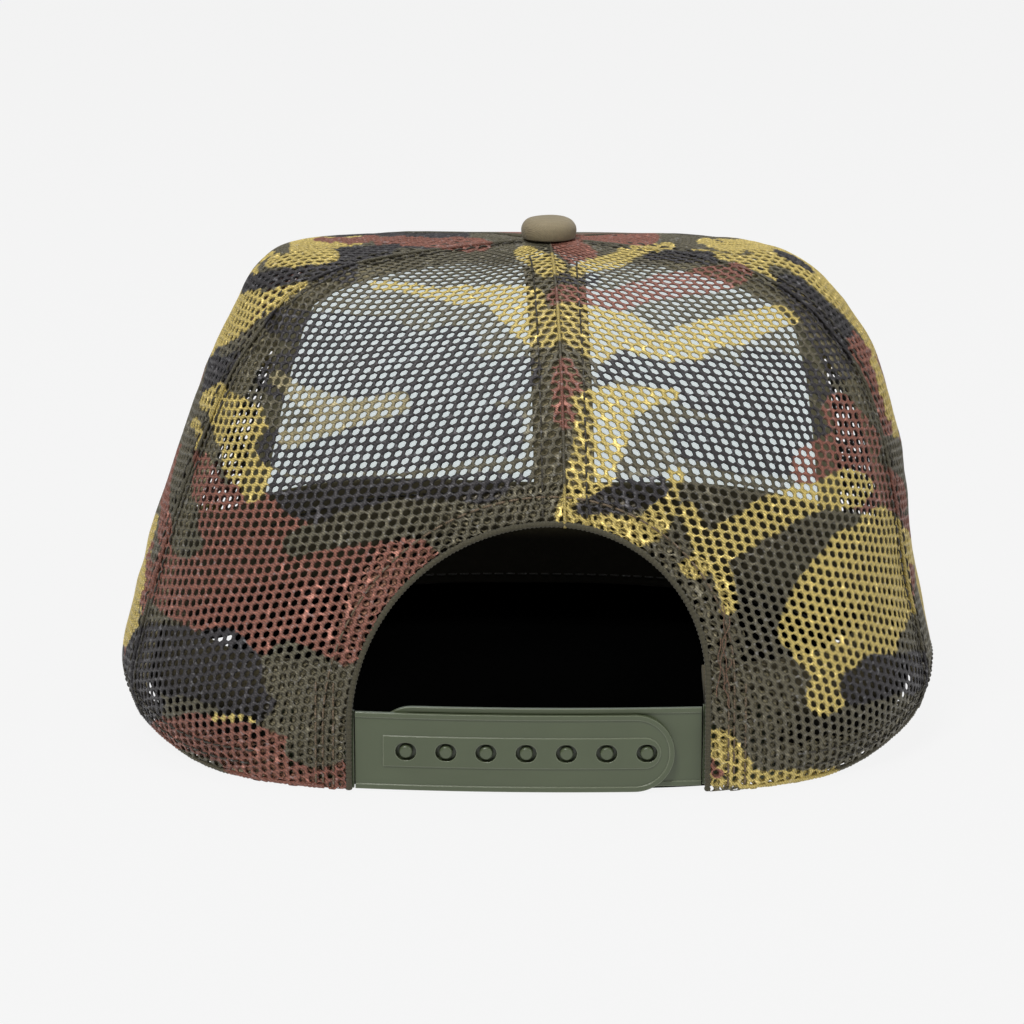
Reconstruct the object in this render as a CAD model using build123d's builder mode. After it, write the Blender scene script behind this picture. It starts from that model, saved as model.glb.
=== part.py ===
"""Five-panel trucker cap: foam front, mesh sides and back, curved visor and a two-part snap strap.

Frame: +Y points forwards over the visor, +X to the wearer's right and +Z up. The origin is the centre of the
head opening, on the surface that the cap stands on.
"""

import math
import os

from build123d import *

# The crown, in millimetres. Each section is an oval at one height: how far its centre lies to the right, its
# half-width, its depth behind and in front of the centre, and how square its back half is (2 is an ellipse).
CROWN_SECTIONS = (
    # height, centre, half-width, back, front, squareness
    (-6.0, 0.5, 97.0, 88.0, 80.0, 2.80),
    (0.0, 0.5, 98.5, 88.0, 81.0, 2.80),
    (8.0, 0.5, 103.8, 87.6, 83.0, 2.80),
    (17.0, 0.5, 106.3, 86.8, 84.5, 2.80),
    (28.0, 0.5, 104.4, 85.0, 84.5, 2.75),
    (40.0, 0.7, 101.3, 82.8, 83.5, 2.70),
    (63.0, 2.5, 96.5, 77.5, 80.5, 2.55),
    (80.0, 4.0, 92.0, 71.5, 77.5, 2.45),
    (95.0, 4.7, 86.7, 63.0, 73.0, 2.40),
    (107.0, 4.0, 80.0, 51.5, 65.5, 2.30),
    (114.0, 2.2, 75.0, 41.5, 57.0, 2.30),
    (118.5, 0.8, 70.0, 32.0, 47.0, 2.30),
    (121.2, 0.0, 64.5, 24.0, 33.0, 2.25),
    (122.8, 0.5, 56.0, 16.5, 20.0, 2.20),
    (123.8, 1.5, 38.0, 10.0, 12.0, 2.00),
    (124.4, 5.7, 6.0, 6.0, 6.0, 2.00),
)
FRONT_SQUARENESS = 2.4
CROWN_TOP = 124.4
PROFILE_STEPS = 15
SECTION_STEP = 9.0
SHOULDER = 60.0
BAND_STRETCH = 80.0
WALL_STEPS = 3
SEARCH_STEPS = 40

# The hem's height from the back of the cap to the front. Under the back it runs below the ground, where the
# crown is cut flat; it lifts at the sides and arches over the visor.
HEM_SECTIONS = (
    # along Y, height
    (-130.0, -1.0),
    (-84.0, -1.0),
    (-68.0, 0.5),
    (-45.0, 6.0),
    (-15.0, 10.5),
    (20.0, 9.0),
    (48.0, 5.5),
    (84.0, 13.0),
    (130.0, 14.0),
)
HEM_LEVEL = 10.0

# The seams run from the button. Angles are in plan, anticlockwise from +X.
BUTTON_X = 5.7
SEAM_FRONT_RIGHT = 36.0
SEAM_FRONT_LEFT = 144.0
SEAM_SIDE_LEFT = 202.0
SEAM_CENTRE_BACK = 274.0
SEAM_SIDE_RIGHT = 340.0
TAPE_START = 17.0
SIDE_TAPE_WIDTH = 12.0
CENTRE_TAPE_WIDTH = 15.0

# Layers, as depths below the crown's outer surface. Layers of one panel are a hair apart, pieces that are sewn
# on firmly are a thread's gap away, and those sewn on loosely are farther away.
HAIR = 0.05
SEWN = 0.35
LOOSE = 1.1
MESH = 1.0
COVER = 0.8
FOAM = 4.0
TAPE = 0.7
FACING = (1.2, 1.8)
BINDING = (-0.3, 1.3)
SWEATBAND_LAYERS = (5.7, 6.3, 7.9, 8.5)
SWEATBAND_ENDS = (-62.0, 238.3)
HEM_GAP = 0.3
SWEATBAND_HEIGHT = 30.0
HEM_TAPE_HEIGHT = 5.0
HEM_TAPE_ENDS = (-51.5, 229.2)

# The arched opening at the back: straight beside the straps, then two arcs that meet right of the middle.
OPENING_CENTRE = 2.3
OPENING_HALF_WIDTH = 43.7
OPENING_APEX = (8.0, 65.4)
BINDING_WIDTH = 1.2
FACING_WIDTH = 10.0
FACING_SIDE = (124.0, 31.0)
OPENING_REGION = (225.0, 320.0)

# The visor: a plate arched across its width and tilted down to the front.
VISOR_SEAM = (28.1, 153.6)
VISOR_SEAM_LEVEL = 14.0
VISOR_GAP = 0.4
VISOR_FREE_EDGE = ((-88.0, 88.0), (-60.0, 132.0), (0.0, 153.0), (60.0, 132.0), (88.0, 88.0))
VISOR_RADIUS = 260.0
VISOR_TILT = 6.0
VISOR_ROOT = (84.0, 15.3)
VISOR_LAYERS = (0.0, 0.8, 2.6, 3.4)
VISOR_EDGE = 1.2

# The button on top.
BUTTON_RADIUS = 7.2
BUTTON_WALL = 0.7
BUTTON_BASE = 124.55
BUTTON_SIDE = 2.2
BUTTON_TOP = 130.3
BUTTON_SHOULDER = (0.72, 0.9)
RIVET_RADIUS = 1.5
RIVET_PLATE = (6.0, 117.9, 119.2)
RIVET_GAP = 0.35

# The two moulded straps. Each flexes at a line beside the opening, where its sewn end begins.
STRAP_RADIUS = 382.0
STRAP_MIDDLE = -85.8
STRAP_THICKNESS = 1.3
STRAP_GAP = 0.3
STRAP_FLEX = (-40.4, 45.0)
FLEX_GAP = 0.15
TAB_ENDS = (-58.5, 63.0)
TAB_DEPTH = 2.15
HOLE_STRAP_Z = (0.4, 19.8)
HOLE_STRAP_TIP = 38.2
PEG_STRAP_Z = (1.3, 21.1)
PEG_STRAP_TIP = -36.0
RIM = 1.2
RECESS = 0.3
PANEL_X = (-33.3, 34.8)
PANEL_HEIGHT = 7.7
HOLE_COUNT = 7
HOLE_PITCH = 9.86
HOLE_X = 1.85
HOLE_Z = 10.2
HOLE_SIZE = (5.2, 4.5)
PEG_RADIUS = 1.6
PEG_LENGTH = 2.3
PEG_ROOT = 0.3
PEG_ROUND = 0.6

# Sizes of the blocks that cut and keep, all larger than the cap.
REACH = 260.0
BLOCK = 150.0
UNDER = 20.0


def slope(rows, k, column):
    """The slope at one row of a table: level at a turning point, else a mean of the slopes either side."""
    steps = [
        (rows[b][column] - rows[a][column]) / (rows[b][0] - rows[a][0])
        for a, b in ((k - 1, k), (k, k + 1))
        if a >= 0 and b < len(rows)
    ]
    if len(steps) == 1:
        return steps[0]
    if steps[0] * steps[1] <= 0:
        return 0.0
    return 2 * steps[0] * steps[1] / (steps[0] + steps[1])


def smooth(rows, place, column):
    """One column of a table at any place between its rows, by a smooth curve through them."""
    k = max(0, min(len(rows) - 2, sum(row[0] <= place for row in rows) - 1))
    width = rows[k + 1][0] - rows[k][0]
    t = (place - rows[k][0]) / width
    return (
        (1 + 2 * t) * (1 - t) ** 2 * rows[k][column]
        + t * (1 - t) ** 2 * width * slope(rows, k, column)
        + t * t * (3 - 2 * t) * rows[k + 1][column]
        + t * t * (t - 1) * width * slope(rows, k + 1, column)
    )


def hem_height(y):
    """The hem's height at one place along the cap."""
    return smooth(HEM_SECTIONS, y, 1)


def search(too_far, low, high):
    """The value between low and high at which too_far turns true."""
    for _ in range(SEARCH_STEPS):
        middle = (low + high) / 2
        low, high = (low, middle) if too_far(middle) else (middle, high)
    return (low + high) / 2


def reach_at(start, angle, height):
    """How far the crown's surface is from start, along a direction in plan, at one height."""
    centre, half_width, back, front, squareness = (smooth(CROWN_SECTIONS, height, k) for k in range(1, 6))
    turn = math.radians(angle)

    def outside(distance):
        x, y = start[0] + distance * math.cos(turn), start[1] + distance * math.sin(turn)
        power, depth = (squareness, back) if y < 0 else (FRONT_SQUARENESS, front)
        return abs((x - centre) / half_width) ** power + abs(y / depth) ** power > 1

    return search(outside, 0, REACH)


def inwards(points, depth):
    """A profile moved inwards by depth: its foot stays at its height and its top end at its reach."""
    moved = []
    for k, (reach, height) in enumerate(points):
        before, after = points[max(k - 1, 0)], points[min(k + 1, len(points) - 1)]
        run, rise = after[0] - before[0], after[1] - before[1]
        size = math.hypot(run, rise)
        sideways, down = (-rise / size, run / size)
        if k == 0:
            moved.append((reach - depth, height))
        elif k == len(points) - 1:
            moved.append((reach, height - depth))
        else:
            moved.append((reach + depth * sideways, height + depth * down))
    return moved


def profile(start, angle, foot, inner_end):
    """The crown's outer surface in one upright plane, from foot up to inner_end from the plane's start."""
    top = search(lambda height: reach_at(start, angle, height) < inner_end, SHOULDER, CROWN_TOP)
    points = []
    for k in range(PROFILE_STEPS):
        height = foot + (top - foot) * math.sin(math.pi / 2 * k / PROFILE_STEPS)
        points.append((reach_at(start, angle, height), height))
    return [*points, (inner_end, top)]


def foot_height(start, angle, rise, ground):
    """The hem's height in one upright plane, raised by rise and no lower than ground."""
    y = start[1] + reach_at(start, angle, HEM_LEVEL) * math.sin(math.radians(angle))
    return max(hem_height(y), ground) + rise


def upright_plane(start, angle):
    """The plane that stands on a line in plan, with its own x along that line."""
    along, across = math.cos(math.radians(angle)), math.sin(math.radians(angle))
    return Plane(origin=(*start, 0), x_dir=(along, across, 0), z_dir=(across, -along, 0))


def lofted(planes, outlines):
    """The solid through one closed outline, an outer and an inner curve, in each upright plane."""
    with BuildPart() as shell:
        for plane, (outer, inner) in zip(planes, outlines):
            with BuildSketch(plane):
                with BuildLine():
                    Spline(*outer)
                    Line(outer[-1], inner[-1])
                    Spline(*reversed(inner))
                    Line(inner[0], outer[0])
                make_face()
        loft()
    return shell.part


def angles_between(start, end):
    """Evenly spaced directions from start to end, no more than SECTION_STEP apart."""
    steps = math.ceil((end - start) / SECTION_STEP)
    return [start + (end - start) * k / steps for k in range(steps + 1)]


def crown_panel(start, end, depths, rise=0.0, ground=-10.0, inner_end=RIVET_RADIUS + 0.1):
    """One layer of the crown between two seams, from the hem up to the button's rivet."""
    axis = (BUTTON_X, 0.0)
    planes, outlines = [], []
    for angle in angles_between(start, end):
        surface = profile(axis, angle, foot_height(axis, angle, rise, ground), inner_end)
        planes.append(upright_plane(axis, angle))
        outlines.append([inwards(surface, depth) for depth in depths])
    return lofted(planes, outlines)


def crown_band(start, end, depths, height):
    """One layer of a band that stands on the hem, following the crown's wall."""
    with BuildPart() as band:
        stretches = math.ceil((end - start) / BAND_STRETCH)
        for k in range(stretches):
            turn = (end - start) / stretches
            add(band_stretch(start + k * turn, start + (k + 1) * turn, depths, height))
    return band.part


def band_stretch(start, end, depths, height):
    """A short stretch of such a band."""
    axis = (BUTTON_X, 0.0)
    planes, outlines = [], []
    for angle in angles_between(start, end):
        foot = foot_height(axis, angle, HEM_GAP, 0.0)
        wall = [foot + (height - HEM_GAP) * k / WALL_STEPS for k in range(WALL_STEPS + 1)]
        planes.append(upright_plane(axis, angle))
        outlines.append([[(reach_at(axis, angle, z) - depth, z) for z in wall] for depth in depths])
    return lofted(planes, outlines)


def seam_tape(angle, width, depth):
    """A tape inside the crown along one seam, at a depth, from the hem tape up to near the button."""
    turn = math.radians(angle)
    planes, outlines = [], []
    for side in (-width / 2, 0, width / 2):
        start = (BUTTON_X - side * math.sin(turn), side * math.cos(turn))
        surface = profile(start, angle, foot_height(start, angle, HEM_TAPE_HEIGHT + SEWN, 0.0), TAPE_START)
        planes.append(upright_plane(start, angle))
        outlines.append([inwards(surface, depth), inwards(surface, depth + TAPE)])
    return lofted(planes, outlines)


def arch_prism(wider=0.0, side_width=0.0, side_height=0.0):
    """The arched opening, cut through the back of the crown and widened, with or without broad sides."""
    apex_x, apex_z = OPENING_APEX[0], OPENING_APEX[1] + wider
    left = OPENING_CENTRE - OPENING_HALF_WIDTH - wider
    right = OPENING_CENTRE + OPENING_HALF_WIDTH + wider
    left_radius, right_radius = apex_x - left, right - apex_x
    with BuildPart() as prism:
        with BuildSketch(Plane.XZ):
            with BuildLine():
                Line((left, -UNDER), (left, apex_z - left_radius))
                RadiusArc((left, apex_z - left_radius), (apex_x, apex_z), left_radius)
                RadiusArc((apex_x, apex_z), (right, apex_z - right_radius), right_radius)
                Line((right, apex_z - right_radius), (right, -UNDER))
                Line((right, -UNDER), (left, -UNDER))
            make_face()
            if side_width:
                with Locations((OPENING_CENTRE, (side_height - UNDER) / 2)):
                    Rectangle(side_width, side_height + UNDER)
        extrude(amount=BLOCK)
    return prism.part


def upright_box(x_range, y_range, z_range):
    """A plain box given by its ranges."""
    with BuildPart() as block:
        with BuildSketch(Plane.XY.offset(z_range[0])):
            with Locations(((x_range[0] + x_range[1]) / 2, (y_range[0] + y_range[1]) / 2)):
                Rectangle(x_range[1] - x_range[0], y_range[1] - y_range[0])
        extrude(amount=z_range[1] - z_range[0])
    return block.part


def save(part, name):
    """Labels one finished piece and writes it."""
    part.label = name
    export_step(part, f"parts/{name}.step")


os.makedirs("parts", exist_ok=True)

# Front panel: a fabric cover over thin foam.
save(crown_panel(SEAM_FRONT_RIGHT, SEAM_FRONT_LEFT, (0, COVER)), "front_panel_cover")
save(crown_panel(SEAM_FRONT_RIGHT, SEAM_FRONT_LEFT, (COVER + HAIR, FOAM)), "front_panel_foam")

# Mesh panels: one at each side and two at the back, which share the arched opening.
save(crown_panel(SEAM_SIDE_RIGHT - 360, SEAM_FRONT_RIGHT, (0, MESH)), "side_panel_right")
save(crown_panel(SEAM_FRONT_LEFT, SEAM_SIDE_LEFT, (0, MESH)), "side_panel_left")
opening_hole = arch_prism()
opening_cut = arch_prism(BINDING_WIDTH)
underground = upright_box((-BLOCK, BLOCK), (-BLOCK, BLOCK), (-UNDER, 0))
BACK_PANELS = {
    "back_panel_left": (SEAM_SIDE_LEFT, SEAM_CENTRE_BACK),
    "back_panel_right": (SEAM_CENTRE_BACK, SEAM_SIDE_RIGHT),
}
for name, (start, end) in BACK_PANELS.items():
    with BuildPart() as back_panel:
        add(crown_panel(start, end, (0, MESH)))
        add(underground, mode=Mode.SUBTRACT)
        add(opening_cut, mode=Mode.SUBTRACT)
    save(back_panel.part, name)

# Seam tapes inside the crown. Those behind mesh lie on it, and those at the front lie on the foam.
save(seam_tape(SEAM_SIDE_LEFT, SIDE_TAPE_WIDTH, MESH + LOOSE), "side_seam_tape_left")
save(seam_tape(SEAM_SIDE_RIGHT, SIDE_TAPE_WIDTH, MESH + LOOSE), "side_seam_tape_right")
save(seam_tape(SEAM_FRONT_LEFT, SIDE_TAPE_WIDTH, FOAM + SEWN), "front_seam_tape_left")
save(seam_tape(SEAM_FRONT_RIGHT, SIDE_TAPE_WIDTH, FOAM + SEWN), "front_seam_tape_right")
facing_cut = arch_prism(FACING_WIDTH, *FACING_SIDE)
with BuildPart() as centre_back_tape:
    add(seam_tape(SEAM_CENTRE_BACK, CENTRE_TAPE_WIDTH, MESH + SEWN))
    add(facing_cut, mode=Mode.SUBTRACT)
save(centre_back_tape.part, "centre_back_tape")

# The opening's edge: a binding round the cut and a facing of folded mesh behind it.
near_ground = upright_box((-BLOCK, BLOCK), (-BLOCK, BLOCK), (-UNDER, HEM_GAP))
OPENING_EDGE = {
    "opening_binding": (BINDING, opening_cut, opening_hole),
    "opening_facing": (FACING, facing_cut, opening_cut),
}
for name, (depths, inside, hole) in OPENING_EDGE.items():
    with BuildPart() as edge:
        add(crown_panel(*OPENING_REGION, depths, inner_end=TAPE_START))
        add(inside, mode=Mode.INTERSECT)
        add(hole, mode=Mode.SUBTRACT)
        add(near_ground, mode=Mode.SUBTRACT)
    save(edge.part, name)

# Hem tapes join the mesh to the sweatband along the sides and the back.
hem_tape_depths = (MESH + LOOSE, SWEATBAND_LAYERS[0] - LOOSE)
right_end, left_end = HEM_TAPE_ENDS
save(crown_band(right_end, SEAM_FRONT_RIGHT, hem_tape_depths, HEM_TAPE_HEIGHT), "hem_tape_right")
save(crown_band(SEAM_FRONT_LEFT, left_end, hem_tape_depths, HEM_TAPE_HEIGHT), "hem_tape_left")

# The sweatband: a backing, a thin pad and a facing, from one side of the opening to the other.
SWEATBAND = ("sweatband_backing", "sweatband_padding", "sweatband_facing")
for name, outer, inner in zip(SWEATBAND, SWEATBAND_LAYERS, SWEATBAND_LAYERS[1:]):
    save(crown_band(*SWEATBAND_ENDS, (outer + HAIR, inner), SWEATBAND_HEIGHT), name)

# The visor: board, covers above and below, and a binding round the free edge.
visor_slope = math.radians(VISOR_TILT)
visor_plane = Plane(
    origin=(0, *VISOR_ROOT),
    x_dir=(-1, 0, 0),
    z_dir=(0, math.cos(visor_slope), -math.sin(visor_slope)),
)
ground_up = upright_box((-BLOCK, BLOCK), (-BLOCK, 2 * BLOCK), (0, BLOCK))


def visor_prism(edge):
    """The upright prism of the visor seen from above, from the crown's wall to edge inside its free edge."""
    seam = []
    for angle in angles_between(*VISOR_SEAM):
        reach = reach_at((BUTTON_X, 0), angle, VISOR_SEAM_LEVEL) + VISOR_GAP
        turn = math.radians(angle)
        seam.append((BUTTON_X + reach * math.cos(turn), reach * math.sin(turn)))
    free = []
    for x, y in VISOR_FREE_EDGE:
        size = math.hypot(x, y - VISOR_ROOT[0])
        free.append((x - edge * x / size, y - edge * (y - VISOR_ROOT[0]) / size))
    with BuildPart() as prism:
        with BuildSketch(Plane.XY.offset(-UNDER)):
            with BuildLine():
                Spline(*seam)
                Spline(seam[-1], *free, seam[0])
            make_face()
        extrude(amount=BLOCK)
    return prism.part


def visor_layer(low, high, keep, remove=()):
    """One layer of the visor between two heights above its underside."""
    with BuildPart() as plate:
        with BuildSketch(visor_plane):
            with Locations((0, -VISOR_RADIUS)):
                Circle(VISOR_RADIUS + high)
                Circle(VISOR_RADIUS + low, mode=Mode.SUBTRACT)
            Rectangle(2 * BLOCK, BLOCK, mode=Mode.INTERSECT)
        extrude(amount=BLOCK, both=True)
        for solid in (keep, ground_up):
            add(solid, mode=Mode.INTERSECT)
        for solid in remove:
            add(solid, mode=Mode.SUBTRACT)
    return plate.part


whole_visor, inner_visor = visor_prism(0), visor_prism(VISOR_EDGE)
VISOR = ("visor_under_cover", "visor_board", "visor_top_cover")
for name, low, high in zip(VISOR, VISOR_LAYERS, VISOR_LAYERS[1:]):
    save(visor_layer(low, high, inner_visor), name)
visor_rim = visor_layer(VISOR_LAYERS[0], VISOR_LAYERS[-1], whole_visor, (inner_visor,))
save(visor_rim, "visor_edge_binding")


def button_dome(wall, base):
    """The button's domed solid with its surface wall inside the outer one."""
    radius, side, crest = BUTTON_RADIUS - wall, BUTTON_BASE + BUTTON_SIDE, BUTTON_TOP - wall
    shoulder = (radius * BUTTON_SHOULDER[0], crest - BUTTON_SHOULDER[1])
    with BuildPart() as dome:
        with BuildSketch(Plane(origin=(BUTTON_X, 0, 0), x_dir=(1, 0, 0), z_dir=(0, -1, 0))):
            with BuildLine():
                Polyline((0, crest), (0, base), (radius, base), (radius, side))
                Spline((radius, side), shoulder, (0, crest), tangents=[(0, 1), (-1, 0)])
            make_face()
        revolve(axis=Axis((BUTTON_X, 0, 0), (0, 0, 1)))
    return dome.part


# The button: a fabric cover on a metal shell, held by a rivet with a plate inside the crown.
with BuildPart() as button_cover:
    add(button_dome(0, BUTTON_BASE))
    add(button_dome(BUTTON_WALL, BUTTON_BASE), mode=Mode.SUBTRACT)
save(button_cover.part, "button_cover")
with BuildPart() as button_shell:
    add(button_dome(BUTTON_WALL, BUTTON_BASE))
    add(button_dome(2 * BUTTON_WALL, BUTTON_BASE), mode=Mode.SUBTRACT)
save(button_shell.part, "button_shell")
with BuildPart() as button_rivet:
    plate_radius, plate_low, plate_high = RIVET_PLATE
    with BuildSketch(Plane.XY.offset(plate_low)):
        with Locations((BUTTON_X, 0)):
            Circle(plate_radius)
    extrude(amount=plate_high - plate_low)
    with BuildSketch(Plane.XY.offset(plate_high)):
        with Locations((BUTTON_X, 0)):
            Circle(RIVET_RADIUS)
    extrude(amount=BUTTON_TOP - 2 * BUTTON_WALL - RIVET_GAP - plate_high)
save(button_rivet.part, "button_rivet")


def strap_shell(outer, inner):
    """A gently curved upright plate between two depths behind the outer strap's face."""
    with BuildPart() as plate:
        with BuildSketch(Plane.XY.offset(-UNDER)):
            with Locations((OPENING_CENTRE, STRAP_MIDDLE + STRAP_RADIUS)):
                Circle(STRAP_RADIUS - outer)
                Circle(STRAP_RADIUS - inner, mode=Mode.SUBTRACT)
        extrude(amount=BLOCK)
        add(upright_box(TAB_ENDS, (-BLOCK, 0), (-UNDER, BLOCK)), mode=Mode.INTERSECT)
    return plate.part


def strap_prism(root, tip, z_range, narrower=0.0):
    """A strap seen from behind, square at its root and round at its tip, as a prism through the back."""
    low, high = z_range[0] + narrower, z_range[1] - narrower
    radius = (high - low) / 2
    side = math.copysign(1, tip - root)
    centre = tip - side * (narrower + radius)
    with BuildPart() as prism:
        with BuildSketch(Plane.XZ):
            with BuildLine():
                Polyline((centre, high), (root, high), (root, low), (centre, low))
                ThreePointArc((centre, low), (centre + side * radius, low + radius), (centre, high))
            make_face()
        extrude(amount=BLOCK)
    return prism.part


hole_places = [(HOLE_X + HOLE_PITCH * (k - (HOLE_COUNT - 1) / 2), HOLE_Z) for k in range(HOLE_COUNT)]
PEG_FACE = STRAP_THICKNESS + STRAP_GAP

# The outer strap: a rim, a sunk field and a raised panel with its row of holes.
panel_z = (HOLE_Z - PANEL_HEIGHT / 2, HOLE_Z + PANEL_HEIGHT / 2)
with BuildPart() as hole_strap_field:
    add(strap_prism(TAB_ENDS[0], HOLE_STRAP_TIP, HOLE_STRAP_Z, RIM))
    add(strap_prism(*PANEL_X, panel_z), mode=Mode.SUBTRACT)
    add(strap_shell(-RIM, RECESS), mode=Mode.INTERSECT)
with BuildPart() as hole_strap:
    add(strap_prism(STRAP_FLEX[0] + FLEX_GAP, HOLE_STRAP_TIP, HOLE_STRAP_Z))
    add(strap_shell(0, STRAP_THICKNESS), mode=Mode.INTERSECT)
    add(hole_strap_field.part, mode=Mode.SUBTRACT)
    with BuildSketch(Plane.XZ):
        with Locations(*hole_places):
            SlotOverall(*HOLE_SIZE)
    extrude(amount=BLOCK, mode=Mode.SUBTRACT)
save(hole_strap.part, "hole_strap")

# The inner strap: a rim, a sunk field and a row of domed pegs that reach through the holes.
with BuildPart() as peg_strap_field:
    add(strap_prism(TAB_ENDS[1], PEG_STRAP_TIP, PEG_STRAP_Z, RIM))
    add(strap_shell(PEG_FACE - RIM, PEG_FACE + RECESS), mode=Mode.INTERSECT)
with BuildPart() as peg_strap:
    add(strap_prism(STRAP_FLEX[1] - FLEX_GAP, PEG_STRAP_TIP, PEG_STRAP_Z))
    add(strap_shell(PEG_FACE, PEG_FACE + STRAP_THICKNESS), mode=Mode.INTERSECT)
    add(peg_strap_field.part, mode=Mode.SUBTRACT)
    for x, z in hole_places:
        reach = math.sqrt((STRAP_RADIUS - PEG_FACE - RECESS) ** 2 - (x - OPENING_CENTRE) ** 2)
        field = STRAP_MIDDLE + STRAP_RADIUS - reach
        with BuildSketch(Plane.XZ.offset(-field - PEG_ROOT)):
            with Locations((x, z)):
                Circle(PEG_RADIUS)
        extrude(amount=PEG_ROOT + PEG_LENGTH)
        fillet(peg_strap.edges(Select.LAST).sort_by(Axis.Y)[0], radius=PEG_ROUND)
save(peg_strap.part, "peg_strap")

# The straps' sewn ends lie between the facing and the sweatband.
TABS = {
    "hole_strap_tab": ((TAB_ENDS[0], STRAP_FLEX[0] - FLEX_GAP), HOLE_STRAP_Z, TAB_DEPTH),
    "peg_strap_tab": ((STRAP_FLEX[1] + FLEX_GAP, TAB_ENDS[1]), PEG_STRAP_Z, TAB_DEPTH + PEG_FACE),
}
for name, (x_range, z_range, depth) in TABS.items():
    with BuildPart() as tab:
        add(crown_band(*OPENING_REGION, (depth, depth + STRAP_THICKNESS), SWEATBAND_HEIGHT))
        add(upright_box(x_range, (-BLOCK, 0), z_range), mode=Mode.INTERSECT)
    save(tab.part, name)
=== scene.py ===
"""The looks of the trucker cap: knitted mesh panels, fabric front and visor, foam, tapes, threads and straps.

Shapes are worked out in millimetres in the row frame, and turned into metres when a mesh is made.
"""

import math

import bpy
import numpy as np
from mathutils import Matrix, Vector


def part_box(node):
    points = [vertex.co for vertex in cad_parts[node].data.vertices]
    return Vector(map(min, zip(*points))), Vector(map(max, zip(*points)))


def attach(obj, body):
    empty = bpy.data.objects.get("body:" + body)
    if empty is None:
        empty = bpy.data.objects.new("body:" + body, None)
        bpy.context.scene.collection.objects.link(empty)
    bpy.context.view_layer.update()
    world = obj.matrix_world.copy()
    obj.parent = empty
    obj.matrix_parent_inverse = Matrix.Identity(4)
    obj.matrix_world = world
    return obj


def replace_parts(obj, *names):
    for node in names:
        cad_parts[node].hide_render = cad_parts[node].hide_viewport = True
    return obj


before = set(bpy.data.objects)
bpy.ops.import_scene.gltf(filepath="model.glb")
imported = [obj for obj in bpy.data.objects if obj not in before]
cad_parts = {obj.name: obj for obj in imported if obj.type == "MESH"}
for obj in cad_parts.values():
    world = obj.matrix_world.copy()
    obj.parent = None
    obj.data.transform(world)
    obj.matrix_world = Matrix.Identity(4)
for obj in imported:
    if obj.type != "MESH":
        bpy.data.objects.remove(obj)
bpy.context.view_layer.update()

MM = 0.001

# ------------------------------------------------------------ crown

# The crown's sections, as in the CAD: height, centre, half-width, back, front, squareness of the back half.
CROWN = np.array(
    (
        (-6.0, 0.5, 97.0, 88.0, 80.0, 2.80),
        (0.0, 0.5, 98.5, 88.0, 81.0, 2.80),
        (8.0, 0.5, 103.8, 87.6, 83.0, 2.80),
        (17.0, 0.5, 106.3, 86.8, 84.5, 2.80),
        (28.0, 0.5, 104.4, 85.0, 84.5, 2.75),
        (40.0, 0.7, 101.3, 82.8, 83.5, 2.70),
        (63.0, 2.5, 96.5, 77.5, 80.5, 2.55),
        (80.0, 4.0, 92.0, 71.5, 77.5, 2.45),
        (95.0, 4.7, 86.7, 63.0, 73.0, 2.40),
        (107.0, 4.0, 80.0, 51.5, 65.5, 2.30),
        (114.0, 2.2, 75.0, 41.5, 57.0, 2.30),
        (118.5, 0.8, 70.0, 32.0, 47.0, 2.30),
        (121.2, 0.0, 64.5, 24.0, 33.0, 2.25),
        (122.8, 0.5, 56.0, 16.5, 20.0, 2.20),
        (123.8, 1.5, 38.0, 10.0, 12.0, 2.00),
        (124.4, 5.7, 6.0, 6.0, 6.0, 2.00),
    )
)
# The hem: how far forward a place is, and how high the hem is there.
HEM = np.array(
    (
        (-130.0, -1.0),
        (-84.0, -1.0),
        (-68.0, 0.5),
        (-45.0, 6.0),
        (-15.0, 10.5),
        (20.0, 9.0),
        (48.0, 5.5),
        (84.0, 13.0),
        (130.0, 14.0),
    )
)
FRONT_POWER = 2.4
BUTTON_X = 5.7
CROWN_TOP = 124.4
SEAMS = {"front_right": 36.0, "front_left": 144.0, "side_left": 202.0, "centre": 274.0, "side_right": 340.0}
ARCH = {"left": -41.4, "right": 46.0, "apex_x": 8.0, "left_z": 16.0, "right_z": 27.4}
ARCH_LEFT_RADIUS = ARCH["apex_x"] - ARCH["left"]
ARCH_RIGHT_RADIUS = ARCH["right"] - ARCH["apex_x"]
ARCH_MIDDLE = (ARCH["left"] + ARCH["right"]) / 2


def slopes(rows):
    """The slope of each column at each row: level at a turning point, else a mean of the slopes beside it."""
    steps = np.diff(rows[:, 1:], axis=0) / np.diff(rows[:, 0])[:, None]
    before, after = steps[:-1], steps[1:]
    same = before * after > 0
    middle = np.where(same, 2 * before * after / np.where(same, before + after, 1), 0)
    return np.vstack([steps[:1], middle, steps[-1:]])


def smooth(rows, slope, place):
    """All of a table's columns at any place between its rows, by smooth curves through them."""
    place = np.asarray(place, float)
    k = np.clip(np.searchsorted(rows[:, 0], place, "right") - 1, 0, len(rows) - 2)
    width = (rows[k + 1, 0] - rows[k, 0])[..., None]
    t = (place - rows[k, 0])[..., None] / width
    low, high = rows[k, 1:], rows[k + 1, 1:]
    return (
        (1 + 2 * t) * (1 - t) ** 2 * low
        + t * (1 - t) ** 2 * width * slope[k]
        + t * t * (3 - 2 * t) * high
        + t * t * (t - 1) * width * slope[k + 1]
    )


CROWN_SLOPE, HEM_SLOPE = slopes(CROWN), slopes(HEM)


def unit(vectors, least=1e-9):
    """Vectors made one long."""
    return vectors / np.maximum(np.linalg.norm(vectors, axis=-1, keepdims=True), least)


def around_button(turn, reach, height):
    """Points by their direction from the button's axis, their reach from it and their height."""
    turn = np.radians(turn)
    return np.stack(np.broadcast_arrays(BUTTON_X + reach * np.cos(turn), reach * np.sin(turn), height), -1)


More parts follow.
